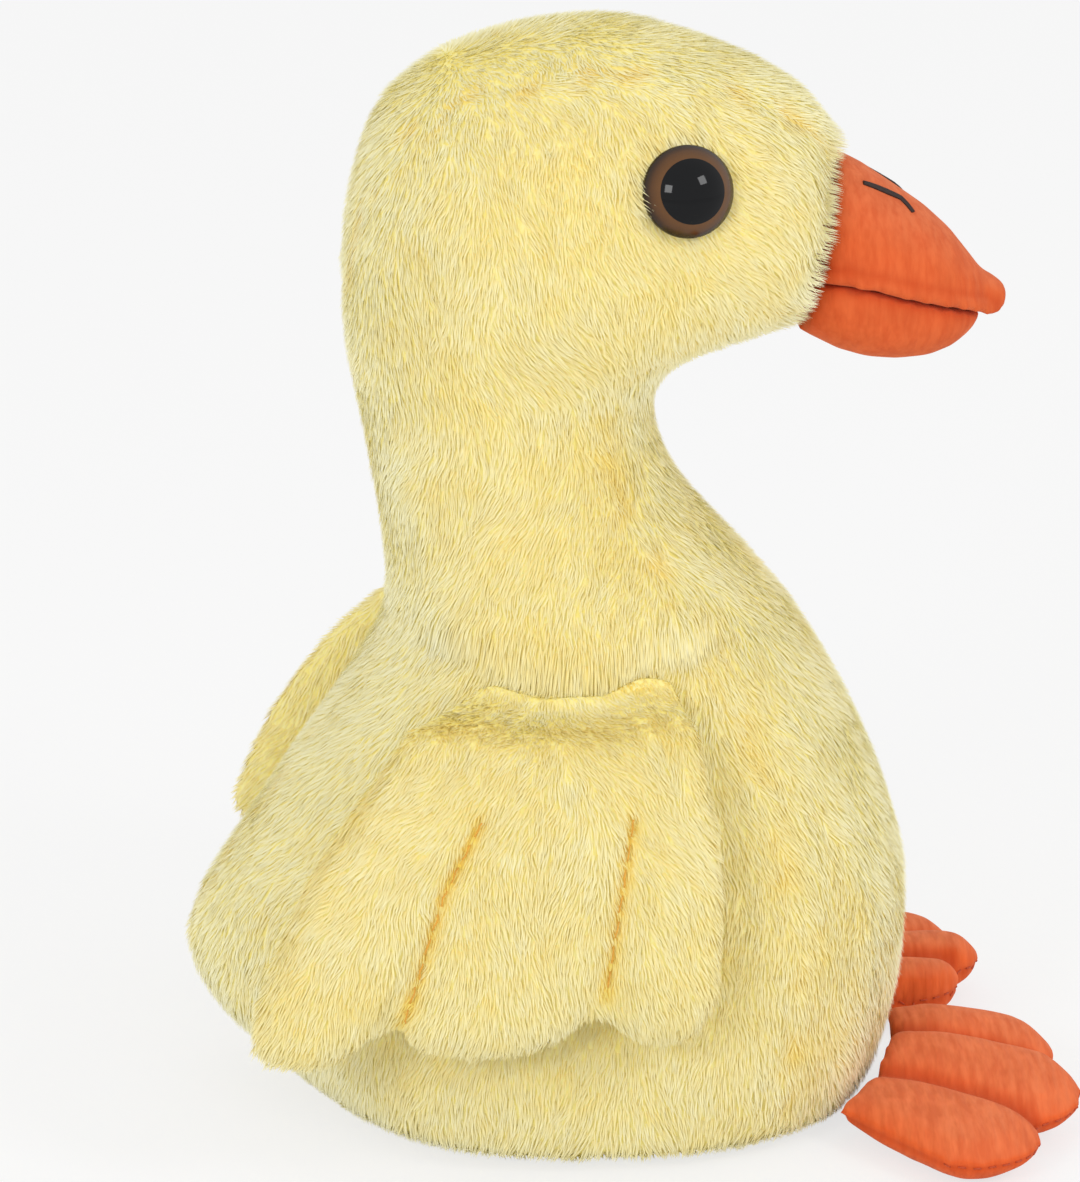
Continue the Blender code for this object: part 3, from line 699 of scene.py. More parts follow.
# %% Pile material
TUFT_MAP = "OFBake"
DEEP_TUFT = ((0.0, (252, 220, 96)), (0.35, (252, 226, 110)), (1.0, (252, 233, 134)))
PALE_TUFT = ((0.0, (255, 246, 188)), (0.35, (255, 249, 202)), (1.0, (255, 252, 222)))


def new_ramp(tree, stops):
    ramp = new_node(tree, "ValToRGB")
    marks = ramp.color_ramp.elements
    while len(marks) < len(stops):
        marks.new(0.5)
    for mark, (place, shade) in zip(marks, stops):
        mark.position = place
        mark.color = colour(*shade)
    return ramp


def make_pile_material():
    material, tree, shader = new_material("pile", Roughness=0.9, Specular_IOR_Level=0.1)
    place = new_node(tree, "UVMap", {"uv_map": TUFT_MAP})
    parts = new_node(tree, "SeparateXYZ")
    deep, pale = new_ramp(tree, DEEP_TUFT), new_ramp(tree, PALE_TUFT)
    tint = new_mix(tree)
    wire(
        tree, (place, "UV", parts, 0), (parts, "X", tint, 0), (parts, "Y", deep, 0),
        (parts, "Y", pale, 0), (deep, "Color", tint, 6), (pale, "Color", tint, 7),
        (tint, 2, shader, "Base Color"),
    )
    return material


pile_material = make_pile_material()

# %% Backing material
BACKING_COLOUR = (255, 246, 176)
BACKING_STREAK = (253, 238, 144)
# Painted shade: the deeper colour where a seam or a stitched line parts the pile.
PARTING_SHADE = (246, 206, 92)


def make_backing_material():
    """Knitted cloth under the pile, with painted shade where a seam or a stitched line parts it."""
    material, tree, shader = new_material("pile_backing", Roughness=0.95, Specular_IOR_Level=0.1)
    place = new_node(tree, "TexCoord")
    seam = new_node(tree, "Attribute", {"attribute_name": "parting_shade"})
    cloth = new_mix(tree, second=PARTING_SHADE)
    dye = use_group(tree, uneven_dye, Size=180.0, Amount=0.12)
    fuzz = use_group(tree, short_nap, Stretch=(1.0, 1.0, 0.25), Size=1500.0)
    streak = new_mix(tree, BACKING_COLOUR, BACKING_STREAK)
    relief = new_node(tree, "Bump", Strength=0.35, Distance=0.0003)
    wire(
        tree, (place, "Object", fuzz, "Vector"), (fuzz, "Mask", streak, 0), (streak, 2, cloth, 6),
        (seam, "Fac", cloth, 0), (place, "Object", dye, "Vector"), (cloth, 2, dye, "Color"),
        (dye, 0, shader, "Base Color"), (fuzz, "Height", relief, "Height"),
        (relief, 0, shader, "Normal"),
    )
    return material


backing_material = make_backing_material()

# %% Dress the skins
BODY_FILL, WING_FILL = 0.8, 0.4


def finish_cloth(piece, mark, values, finish, slot, fill, *stands_for):
    """Gives a padded piece a mark that its material reads, the material, and its place."""
    set_attribute(piece, mark, np.clip(values, 0.0, 1.0))
    piece.data.materials.append(finish)
    piece.data.shade_smooth()
    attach(piece, "root")
    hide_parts(*stands_for)
    print(piece.name, len(piece.data.polygons), "faces")


# The seam and stitch values set how much painted shade the backing gets in its partings.
finish_cloth(
    body_skin, "parting_shade", body_seam, backing_material, "pile", BODY_FILL,
    *BODY_PANELS, *BODY_INSIDE,
)
for word, wing in wing_skins.items():
    finish_cloth(
        wing, "parting_shade", wing_stitch[word], backing_material, "wing_pile", WING_FILL,
        f"wing_{word}",
    )

# %% [markdown]
# ## The pile
# A tuft is a closed slim cone with three corners at its root and one tip, only four faces. One flat
# face looks outwards, so tufts that lie side by side catch the light alike, as soft pile does.
# Tufts are scattered evenly over the skin, lean the way the pile is combed, and gather in small
# locks, which gives the soft wavy surface. Real pile has far more and finer fibres, but from a step
# away the eye sees locks and streaks of about this size.

# %% Scatter
def scatter(piece, density, seed, wanted):
    """Places on a skin: for each, the corners of its triangle and their shares."""
    mesh = piece.data
    mesh.calc_loop_triangles()
    corners = np.empty(len(mesh.loop_triangles) * 3, dtype=np.int32)
    mesh.loop_triangles.foreach_get("vertices", corners)
    corners = corners.reshape(-1, 3)
    spots = points_of(piece)[corners]
    across = np.cross(spots[:, 1] - spots[:, 0], spots[:, 2] - spots[:, 0])
    weights = np.linalg.norm(across, axis=1) / 2.0 * wanted[corners].mean(axis=1)
    total = np.cumsum(weights)
    count = int(total[-1] * density)
    draw = np.random.default_rng(seed)
    chosen = np.searchsorted(total, (np.arange(count) + draw.random(count)) / count * total[-1])
    chosen = np.minimum(chosen, len(corners) - 1)
    first, second = draw.random(count), draw.random(count)
    folded = first + second > 1.0
    first[folded], second[folded] = 1.0 - first[folded], 1.0 - second[folded]
    shares = np.stack([1.0 - first - second, first, second], axis=1)
    return corners[chosen], shares


def read_at(places, values):
    """Values of a skin's points, read between them at the scattered places."""
    corners, shares = places
    if values.ndim == 1:
        return (values[corners] * shares).sum(axis=1)
    return (values[corners] * shares[:, :, None]).sum(axis=1)


def unit(vectors):
    return vectors / np.maximum(np.linalg.norm(vectors, axis=1), 1e-12)[:, None]


def along_surface(vectors, normals):
    return unit(vectors - normals * (vectors * normals).sum(axis=1)[:, None])


def turn_about(vectors, axes, angles):
    """Turns vectors about axes that are square to them."""
    sine, cosine = np.sin(angles)[:, None], np.cos(angles)[:, None]
    return vectors * cosine + np.cross(axes, vectors) * sine


# %% Tufts as a mesh
TUFT_FACES = np.array(((0, 2, 1), (3, 0, 1), (3, 1, 2), (3, 2, 0)))
TUFT_FOOT = ((1.0, -0.07), (0.0, 0.18), (-1.0, -0.07))
TUFT_ROLL = 0.14
TINT_ACROSS = np.array((-0.02, 0.0, 0.02, 0.0))
HEIGHT_ALONG = (0.0, 0.03, 0.0, 1.0)
LOWEST = 0.05 * MM


def tuft_mesh(name, roots, tips, widths, tints, normals):
    """One mesh of closed slim cones, with the tint and the height in its UV map."""
    count = len(roots)
    axis = unit(tips - roots)
    side = unit(np.cross(axis, normals + 1e-3))
    side = turn_about(side, axis, np.random.default_rng(count).normal(0.0, TUFT_ROLL, count))
    other = np.cross(axis, side)
    corners = np.empty((count, 4, 3))
    corners[:, 3] = tips
    for place, (across, down) in enumerate(TUFT_FOOT):
        corners[:, place] = roots + widths[:, None] * (side * across + other * down)
    corners[:, :, 2] = np.maximum(corners[:, :, 2], LOWEST)
    faces = (TUFT_FACES[None] + 4 * np.arange(count)[:, None, None]).reshape(-1, 3)
    mesh = bpy.data.meshes.new(name)
    mesh.vertices.add(count * 4)
    mesh.vertices.foreach_set("co", corners.astype(np.float32).ravel())
    mesh.loops.add(faces.size)
    mesh.loops.foreach_set("vertex_index", faces.astype(np.int32).ravel())
    mesh.polygons.add(len(faces))
    mesh.polygons.foreach_set("loop_start", np.arange(0, faces.size, 3, dtype=np.int32))
    mesh.update(calc_edges=True)
    tint_at = np.clip(tints[:, None] + TINT_ACROSS, 0.01, 0.99)
    height_at = np.broadcast_to(HEIGHT_ALONG, tint_at.shape)
    places = np.stack([tint_at, height_at], axis=2).reshape(-1, 2)
    layer = mesh.uv_layers.new(name=TUFT_MAP)
    layer.uv.foreach_set("vector", places[faces.ravel()].astype(np.float32).ravel())
    mesh.shade_flat()
    piece = bpy.data.objects.new(name, mesh)
    scene.collection.objects.link(piece)
    return piece


# %% Grow pile
LEAN = math.radians(69.0)
LOCK_SIZE = 16
LOCK_PULL = 0.14
LOCK_TURN = math.radians(8.0)
LOCK_TINT = 0.06
LOCK_LENGTH = 0.04
DRIFT_TURN = math.radians(44.0)
DRIFT_SIZE = 13.0 * MM
TUFT_WIDTH = 0.17 * MM
TUFT_TURN = 0.09
TUFT_SWING = 0.07
TUFT_TINT = 0.05


def grow(name, piece, density, seed, wanted, comb, pull, lengths, tints, slot):
    """Grows pile on a skin, where comb, pull, lengths and tints are values of its points."""
    draw = np.random.default_rng(seed + 100)
    places = scatter(piece, density, seed, wanted)
    roots = read_at(places, points_of(piece))
    normals = unit(read_at(places, normals_of(piece)))
    count = len(roots)
    locks = draw.choice(count, max(1, count // LOCK_SIZE), replace=False)
    finder = KDTree(len(locks))
    for place, lock in enumerate(locks):
        finder.insert(roots[lock], place)
    finder.balance()
    lock_of = np.array([finder.find(root)[1] for root in roots])
    lock_turn = draw.normal(0.0, LOCK_TURN, len(locks))
    lock_tint = draw.normal(0.0, LOCK_TINT, len(locks))
    lock_length = draw.normal(1.0, LOCK_LENGTH, len(locks))
    turn = lock_turn[lock_of] + DRIFT_TURN * drift(roots, DRIFT_SIZE, seed)
    turn += draw.normal(0.0, TUFT_TURN, count)
    lean = turn_about(along_surface(read_at(places, comb), normals), normals, turn)
    length = read_at(places, lengths) * lock_length[lock_of] * draw.uniform(0.85, 1.05, count)
    swing = draw.normal(0.0, TUFT_SWING, count)
    way = normals * np.cos(LEAN + swing)[:, None] + lean * np.sin(LEAN + swing)[:, None]
    pulled = read_at(places, pull)
    way = unit(way * (1.0 - np.linalg.norm(pulled, axis=1))[:, None] + pulled)
    tips = roots + way * length[:, None]
    lock_tips = tips[locks][lock_of]
    tips += (lock_tips - tips) * (LOCK_PULL * draw.uniform(0.5, 1.0, count))[:, None]
    tint = read_at(places, tints) + lock_tint[lock_of] + draw.normal(0.0, TUFT_TINT, count)
    widths = TUFT_WIDTH * draw.uniform(0.8, 1.2, count)
    pile = tuft_mesh(name, roots, tips, widths, tint, normals)
    pile.data.materials.append(pile_material)
    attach(pile, "root")
    print(name, count, "tufts,", len(pile.data.polygons), "faces")


# %% [markdown]
# ## How the body's pile lies
# The pile is combed down the body, forward over the face, and out over the root of the beak. Longer
# tufts hang over the sewn roots of the wings and reach over the upper back rims of the eyes. It is
# shorter along the seams, where painted shade deepens its colour, and paler low on the body. A
# painted sheen makes it paler where the body turns away to the front and the back. It leaves the
# eyes free, and it is thin where nothing shows.

# %% Combing of the body
HEAD_FROM, HEAD_TO = 0.100, 0.128
BEAK_ROOT = np.array((0.041, 0.0, 0.137))
FACE_REACH = 14.0 * MM
FACE_FROM = 28.0 * MM


def body_comb(points, normals):
    """Which way the pile is combed: down, forward on the face, and outwards under the base."""
    head = ease(points[:, 2], HEAD_FROM, HEAD_TO)
    face = hump(np.linalg.norm(points - BEAK_ROOT, axis=1), 0.0, FACE_REACH)
    comb = np.zeros_like(points)
    comb[:, 0] = -0.15 + 0.6 * head + 1.6 * face
    comb[:, 2] = -1.0
    under = ease(-normals[:, 2], 0.6, 0.9) * (1.0 - head)
    comb[:, :2] += under[:, None] * unit(points * (1.0, 1.0, 0.0))[:, :2] * 1.5
    return comb


# %% Pile over the beak's root
RING_PULL = 0.85
RING_NEAR, RING_REACH = 3.0 * MM, 7.5 * MM

beak_trees = [surface_tree(nodes[name]) for name in ("upper_beak", "lower_beak")]


def near_beak(points):
    """1 where the skin touches the beak's root, and 0 further off."""
    near = np.minimum(*(gaps_to(tree, points) for tree in beak_trees))
    return (1.0 - ease(near, RING_NEAR, RING_REACH)) * (points[:, 0] > FACE_FROM)


def ring_pull(normals, ring):
    return unit(normals * 0.25 + (1.0, 0.0, 0.0)) * (RING_PULL * ring)[:, None]


# %% Pile over the eyes' rims
EYE_RIM, EYE_RIM_WIDTH = 7.5 * MM, 1.0 * MM
EYE_SIDE = np.array((-0.6, 0.0, 0.8))
EYE_PULL = 0.85
BESIDE_EYE, IN_EYE_PLANE = 12.0 * MM, 10.0 * MM


def eye_middle(word):
    return points_of(nodes[f"pupil_{word}"]).mean(axis=0)


def eye_pull(points, word):
    """The pull over the upper back rim of one eye, and how much there."""
    middle = eye_middle(word)
    axis = middle - points_of(nodes[f"eye_washer_{word}"]).mean(axis=0)
    axis /= np.linalg.norm(axis)
    height = (points - middle) @ axis
    offset = points - middle - height[:, None] * axis
    reach = np.linalg.norm(offset, axis=1)
    share = hump(reach, EYE_RIM, EYE_RIM_WIDTH)
    share *= (np.abs(height) < IN_EYE_PLANE) & (reach < BESIDE_EYE)
    share *= EYE_PULL * ease(unit(offset) @ EYE_SIDE, 0.1, 0.7)
    return unit(axis * 1.2 - unit(offset) * 0.85) * share[:, None], share


# %% Pile over the wings' roots
OVER_WING = 0.7
OVER_WING_AT, OVER_WING_WIDTH = 1.5 * MM, 2.2 * MM
ON_FLANK = 15.0 * MM


def wing_root_pull(points, word):
    """The pull over the sewn root of one wing, and how much there."""
    outward = 1.0 if word == "left" else -1.0
    edge = corners_of(f"wing_{word}")[1][2] + np.interp(points[:, 0], FOLD_AT, FOLD_RISE)
    share = hump(points[:, 2], edge + OVER_WING_AT, OVER_WING_WIDTH)
    share *= points[:, 1] * outward > ON_FLANK
    share *= ease(points[:, 0], -0.026, -0.020) * (1.0 - ease(points[:, 0], 0.019, 0.025))
    return np.array((0.0, outward * 0.5, -0.87)) * (OVER_WING * share)[:, None], share


# %% Where the body's pile grows
EYE_CLEAR = 6.3 * MM
UNDER_WING, UNDER_WING_GAP = 90.0 * MM, 14.0 * MM
WING_SIDE = 20.0 * MM
BEHIND_BEAK, BEHIND_BEAK_GAP = 110.0 * MM, 4.0 * MM
HIDDEN_SHARE, BASE_SHARE = 0.3, 0.25


def body_wanted(points, normals):
    """Where the body's pile grows, from 0 to 1."""
    wanted = np.ones(len(points))
    for word in SIDES:
        wanted[np.linalg.norm(points - eye_middle(word), axis=1) < EYE_CLEAR] = 0.0
        tree = surface_tree(wing_skins[word])
        near = (np.abs(points[:, 1]) > WING_SIDE) & (points[:, 2] < UNDER_WING)
        for place in np.flatnonzero(near):
            start, way = Vector(points[place]), Vector(normals[place])
            if tree.ray_cast(start, way, UNDER_WING_GAP)[0] is not None:
                wanted[place] *= HIDDEN_SHARE
    forward = Vector((1.0, 0.0, 0.0))
    for place in np.flatnonzero((points[:, 0] > FACE_FROM) & (points[:, 2] > BEHIND_BEAK)):
        start = Vector(points[place])
        hits = [tree.ray_cast(start, forward, BEHIND_BEAK_GAP)[0] for tree in beak_trees]
        if any(hit is not None for hit in hits) and normals[place][0] > 0.9:
            wanted[place] *= HIDDEN_SHARE
    wanted[normals[:, 2] < -0.9] *= BASE_SHARE
    return wanted


# %% Values of the body's pile
BODY_TUFT = 2.4 * MM
RING_TUFT = 1.3 * MM
EYE_TUFT, EYE_CROWD = 2.6 * MM, 2.5
OVER_WING_TUFT = 2.6 * MM
PATCHES, FINE_PATCHES = 9.0 * MM, 4.0 * MM
TURNED_AWAY_SHEEN = 0.45
HEAD_PARTS_AT = 95.0 * MM

points, normals = points_of(body_skin), normals_of(body_skin)
comb = body_comb(points, normals)
wanted = body_wanted(points, normals)
patches, fine_patches = drift(points, PATCHES, 5), drift(points, FINE_PATCHES, 9)
ring = near_beak(points)
pull = ring_pull(normals, ring)
by_eye, by_wing = np.zeros(len(points)), np.zeros(len(points))
for word in SIDES:
    eye_part, eye_share = eye_pull(points, word)
    wing_part, wing_share = wing_root_pull(points, word)
    pull += eye_part + wing_part
    by_eye += eye_share
    by_wing += wing_share
wanted *= 1.0 + EYE_CROWD * by_eye
lengths = BODY_TUFT * (1.0 - 0.35 * body_seam + 0.12 * patches)
lengths += RING_TUFT * ring + EYE_TUFT * by_eye + OVER_WING_TUFT * by_wing
# Painted shade deepens the tint along the seams.
tints = 0.6 - 0.6 * body_seam + 0.16 * patches - 0.35 * np.maximum(fine_patches - 0.18, 0.0)
tints += 0.12 * ease(-points[:, 2], -0.05, 0.0)
# Painted sheen: the tufts are paler where the skin turns away from the sides.
tints += TURNED_AWAY_SHEEN * ease(-np.abs(normals[:, 1]), -0.95, -0.35)
upper = points[:, 2] > HEAD_PARTS_AT
print("body pile wanted on", round(float(wanted.mean()), 2), "of the skin")

# %% Grow the body's pile
BODY_DENSITY = 3.55e6
BODY_SEED = 11
BODY_PILES = ("side_pile_right", "side_pile_left", "breast_pile", "crown_pile", "base_pile")

for panel, name in enumerate(BODY_PILES):
    on_panel = (body_panel == panel) * wanted
    parts = [(name, on_panel)]
    if name.startswith("side"):
        parts = [(name, on_panel * ~upper), (name.replace("side", "head"), on_panel * upper)]
    for part, part_wanted in parts:
        grow(
            part, body_skin, BODY_DENSITY, BODY_SEED + panel, part_wanted,
            comb, pull, lengths, tints, "pile",
        )

# %% [markdown]
# ## How the wings' pile lies
# On a wing the pile fans out from the shoulder to the rim, where it stands past the cloth as a
# fringe that a painted sheen makes pale. Along the two stitched lines it is short, and painted
# shade deepens its colour so that the lines show; at the sewn root it is short, with painted shade
# in patches.

# %% Grow the wings' pile
WING_TUFT = 2.4 * MM
WING_DENSITY = 4.1e6
WING_SEED = 31
WING_INNER_SHARE = 0.45
FAN_RISE = 30.0 * MM
FAN_BACK = 0.35
THIN, THICK = 1.5 * MM, 5.0 * MM
ROOT_FROM, ROOT_TO = 1.0 * MM, 9.0 * MM
WING_PATCHES, ROOT_SHADE_PATCHES = 8.0 * MM, 3.0 * MM


def wing_values(word):
    wing = wing_skins[word]
    points, normals = points_of(wing), normals_of(wing)
    low, high = corners_of(f"wing_{word}")
    shoulder = np.array((high[0] - FAN_BACK * (high[0] - low[0]), 0.0, high[2] + FAN_RISE))
    outward = 1.0 if word == "left" else -1.0
    comb = points - shoulder
    comb[:, 1] = outward * 0.04 * np.maximum(normals[:, 2], 0.0)
    rim = 1.0 - ease(thickness_at(wing, points, normals), THIN, THICK)
    stitch = wing_stitch[word]
    root = 1.0 - ease(high[2] - points[:, 2], ROOT_FROM, ROOT_TO)
    wanted = np.where(normals[:, 1] * outward > -0.3, 1.0, WING_INNER_SHARE)
    patches = drift(points, WING_PATCHES, 21)
    lengths = WING_TUFT * (1.0 - 0.5 * stitch - 0.45 * root + 0.1 * patches)
    # Painted shade deepens the tint along the stitched lines; a painted sheen pales it at the thin
    # rim.
    tints = 0.62 - 0.5 * stitch + 0.14 * patches + 0.28 * rim
    # Painted shade at the sewn root, in patches.
    tints -= root * (0.35 + 0.5 * ease(drift(points, ROOT_SHADE_PATCHES, 27), 0.0, 0.4))
    return wanted, unit(comb), np.zeros_like(points), lengths, tints


for place, word in enumerate(SIDES):
    values = wing_values(word)
    name = f"wing_pile_{word}"
    grow(name, wing_skins[word], WING_DENSITY, WING_SEED + place, *values, "wing_pile")

# %% [markdown]
# ## Beak and feet
# Both are stuffed shapes of orange velour, a cloth with a nap of half a millimetre. The beak has
# two halves, and the upper one ends in a soft lip along the mouth. A foot has a top and a sole,
# sewn together along a hem, and two sewn channels part its toes. Each skin starts as the outline of
# its nodes. The channels, the lip and the hem come after remeshing, because it would wipe them out.

# %% Velour
# The deep nap colour serves both the nap's own streaks and the painted shade in creases.
NAP_STREAK_AND_SHADE = (196, 66, 26)
BEAK_NAP = (228, 106, 57)
FOOT_NAP = (243, 110, 56)
# Painted sheen, the colour where the velour looks up.
NAP_TOP_SHEEN = (240, 142, 98)
SHEEN = (255, 196, 160)
RIB_SCALE = 185.0


def make_velour(name, shade, stretch, ribs):
    """Orange velour: streaks of nap and ribs, with painted shade in its creases and a painted sheen
    where it looks up.
    """
    material, tree, shader = new_material(
        name, Roughness=0.92, Specular_IOR_Level=0.12, Sheen_Weight=0.22, Sheen_Roughness=0.45,
        Sheen_Tint=colour(*SHEEN),
    )
    place = new_node(tree, "TexCoord")
    nap = use_group(tree, short_nap, Stretch=stretch, Size=760.0)
    dye = use_group(tree, uneven_dye, Size=210.0, Amount=0.22)
    facing = new_node(tree, "NewGeometry")
    rise = new_node(tree, "SeparateXYZ")
    # Painted sheen: the velour turns paler as its surface faces up.
    top_sheen_share = new_node(tree, "MapRange", From_Min=0.35, From_Max=1.0, To_Min=0.0, To_Max=0.55)
    streak = new_node(tree, "MapRange", To_Max=0.38)
    rib = new_node(tree, "TexWave", Scale=RIB_SCALE, Distortion=1.6, Detail=1.0)
    raised = new_math(tree, "MULTIPLY_ADD", 1, ribs)
    # The crease mark holds painted shade: redder in creases, along the mouth and at the beak's
    # root.
    crease_shade = new_node(tree, "Attribute", {"attribute_name": "crease_shade"})
    top_sheen, streaked, crease_shaded = (
        new_mix(tree, first, second)
        for first, second in ((shade, NAP_TOP_SHEEN), (None, NAP_STREAK_AND_SHADE), (None, NAP_STREAK_AND_SHADE))
    )
    relief = new_node(tree, "Bump", Strength=0.55, Distance=0.0004)
    wire(
        tree, (place, "Object", nap, "Vector"), (place, "Object", dye, "Vector"),
        (facing, "Normal", rise, 0), (rise, "Z", top_sheen_share, "Value"),
        (top_sheen_share, "Result", top_sheen, 0), (top_sheen, 2, streaked, 6),
        (nap, "Mask", streak, "Value"), (streak, "Result", streaked, 0),
        (streaked, 2, crease_shaded, 6), (crease_shade, "Fac", crease_shaded, 0), (crease_shaded, 2, dye, "Color"),
        (dye, 0, shader, "Base Color"), (place, "Object", rib, "Vector"), (rib, 1, raised, 0),
        (nap, "Height", raised, 2), (raised, 0, relief, "Height"), (relief, 0, shader, "Normal"),
    )
    return material


beak_velour = make_velour("beak_velour", BEAK_NAP, (1.0, 0.6, 0.2), 0.12)
foot_velour = make_velour("foot_velour", FOOT_NAP, (1.0, 0.22, 0.22), 0.5)

# %% Beak
BEAK_VOXEL = 1.0 * MM
VELOUR_ROUNDING = 2
BEAK_CAP = 0.3 * MM
BEAK_FILL = 0.8
LIP_RISE = 0.35 * MM
LIP_GROOVE, LIP_GROOVE_AT = 0.3 * MM, 3.2 * MM
BEAK_ROOT_WIDTH = 3.5 * MM


def make_beak_half(name, other):
    """One half of the beak; the upper one has a lip along the mouth."""
    half = outline_skin(f"{name}_skin", (name,), BEAK_VOXEL, VELOUR_ROUNDING)
    stuff(half, BEAK_CAP)
    points, normals = points_of(half), normals_of(half)
    mouth = gaps_to(surface_tree(nodes[other]), points)
    # Painted shade: redder at the beak's root, under the overhanging pile.
    crease_shade = 0.5 * hump(points[:, 0], corners_of(name)[0][0], BEAK_ROOT_WIDTH)
    if name == "upper_beak":
        lip = LIP_RISE * hump(mouth, 1.0 * MM, 1.0 * MM)
        lip -= LIP_GROOVE * hump(mouth, LIP_GROOVE_AT, 0.9 * MM)
        outside = ease(normals[:, 2], -0.6, 0.0)
        set_points(half, points + normals * (lip * outside)[:, None])
        # Painted shade in the groove above the lip and along the mouth.
        crease_shade += 0.35 * hump(mouth, LIP_GROOVE_AT, 0.7 * MM) + 0.6 * hump(mouth, 0.0, 0.5 * MM)
    else:
        # Painted shade along the mouth.
        crease_shade += 0.65 * hump(mouth, 0.0, 1.6 * MM)
    finish_cloth(half, "crease_shade", crease_shade, beak_velour, "orange_velour", BEAK_FILL, name)
    return half


beak_tree = surface_tree(make_beak_half("upper_beak", "lower_beak"))
make_beak_half("lower_beak", "upper_beak")

# %% Feet
FOOT_VOXEL = 1.3 * MM
FOOT_CAP = 0.35 * MM
FOOT_FILL = 0.7
CHANNEL_WIDTH = 1.3 * MM
CHANNEL_DEPTH = 0.8 * MM
HEM_WIDTH = 0.8 * MM
HEM_DEPTH = 0.45 * MM
CHANNELS = {
    "right": (((51.2, -15.0), (75.2, -25.0)), ((47.0, -26.6), (70.6, -44.9))),
    "left": (((51.2, 15.0), (66.5, 19.1)), ((47.0, 26.6), (67.6, 34.8))),
}


def make_foot(word):
    """A foot's skin, and how close each of its points is to the hem."""
    parts = (f"foot_top_{word}", f"foot_sole_{word}")
    foot = outline_skin(f"foot_skin_{word}", parts, FOOT_VOXEL, VELOUR_ROUNDING)
    stuff(foot, FOOT_CAP)
    points, normals = points_of(foot), normals_of(foot)
    gaps = [gaps_to_path(points[:, :2], np.array(line) * MM) for line in CHANNELS[word]]
    channel = hump(np.min(gaps, axis=0), 0.0, CHANNEL_WIDTH) * ease(normals[:, 2], -0.2, 0.5)
    to_top, to_sole = (gaps_to(surface_tree(nodes[part]), points) for part in parts)
    hem = hump(np.maximum(to_top, to_sole), 0.0, HEM_WIDTH)
    points -= normals * (channel * CHANNEL_DEPTH + hem * HEM_DEPTH)[:, None]
    set_points(foot, points)
    # Painted shade: redder in the channels and along the hem.
    crease_shade = 0.75 * channel + 0.55 * hem
    finish_cloth(foot, "crease_shade", crease_shade, foot_velour, "orange_velour", FOOT_FILL, *parts)
    return foot, hem


foot_skins, foot_hems = {}, {}
for word in SIDES:
    foot_skins[word], foot_hems[word] = make_foot(word)

# %% [markdown]
# ## Eyes
# A safety eye is a moulded brown cap with a black dome set in it, both from one smooth sphere. Each
# starts as a sphere that is cut to a dome and gets its rim by extruding. The sphere's size is
# measured on the nodes, and so is the line of its shank, along which the eye looks out.

# %% Eye helpers
def eye_measures(word):
    """Where an eye sits and looks, and how large it is."""
    cap, lens = points_of(nodes[f"eye_{word}"]), points_of(nodes[f"pupil_{word}"])
    washer = points_of(nodes[f"eye_washer_{word}"]).mean(axis=0)
    axis = lens.mean(axis=0) - washer
    axis /= np.linalg.norm(axis)
    height = (cap - washer) @ axis
    radius = np.linalg.norm(cap - washer - height[:, None] * axis, axis=1)
    rim = height[radius > 0.98 * radius.max()]
    lens_height = (lens - washer) @ axis
    lens_radius = np.linalg.norm(lens - washer - lens_height[:, None] * axis, axis=1).max()
    top = lens_height.max()
    rise = top - rim.max()
    sphere = (radius.max() ** 2 + rise ** 2) / (2.0 * rise)
    return washer, axis, radius.max(), lens_radius, rim.min(), top, sphere


def make_dome(name, sphere, top, cut_at, back):
    """A dome about the z axis: its sphere is cut at a height, and closed by a rim and a back."""
    bpy.ops.mesh.primitive_uv_sphere_add(
        segments=72, ring_count=64, radius=sphere, location=(0.0, 0.0, top - sphere)
    )
    dome = bpy.context.object
    dome.name = name
    dome.data.name = name
    bpy.ops.object.transform_apply(location=True)
    bpy.ops.object.mode_set(mode="EDIT")
    bpy.ops.mesh.select_all(action="SELECT")
    bpy.ops.mesh.bisect(plane_co=(0.0, 0.0, cut_at), plane_no=(0.0, 0.0, 1.0), clear_inner=True)
    bpy.ops.mesh.extrude_region_move(TRANSFORM_OT_translate={"value": (0.0, 0.0, back - cut_at)})
    bpy.ops.mesh.edge_face_add()
    bpy.ops.mesh.select_all(action="SELECT")
    bpy.ops.mesh.normals_make_consistent(inside=False)
    bpy.ops.object.mode_set(mode="OBJECT")
    bpy.ops.object.shade_smooth_by_angle(angle=math.radians(40.0))
    return dome


# %% Eye materials
EYE_BROWNS = ((0.0, (104, 68, 34)), (0.6, (86, 55, 27)), (1.0, (38, 24, 12)))
EYE_BLACK = (6, 7, 10)
WASHER_WHITE = (226, 226, 220)


def make_eye_brown():
    """Clear brown plastic, darker towards its rim."""
    material, tree, shader = new_material("eye_brown", Roughness=0.18, Specular_IOR_Level=0.3)
    rim = new_node(tree, "Attribute", {"attribute_name": "rim"})
    ramp = new_ramp(tree, EYE_BROWNS)
    place = new_node(tree, "TexCoord")
    cloud = use_group(tree, uneven_dye, Size=420.0, Amount=0.3)
    wire(
        tree, (rim, "Fac", ramp, 0), (place, "Object", cloud, "Vector"),
        (ramp, "Color", cloud, "Color"), (cloud, 0, shader, "Base Color"),
    )
    return material


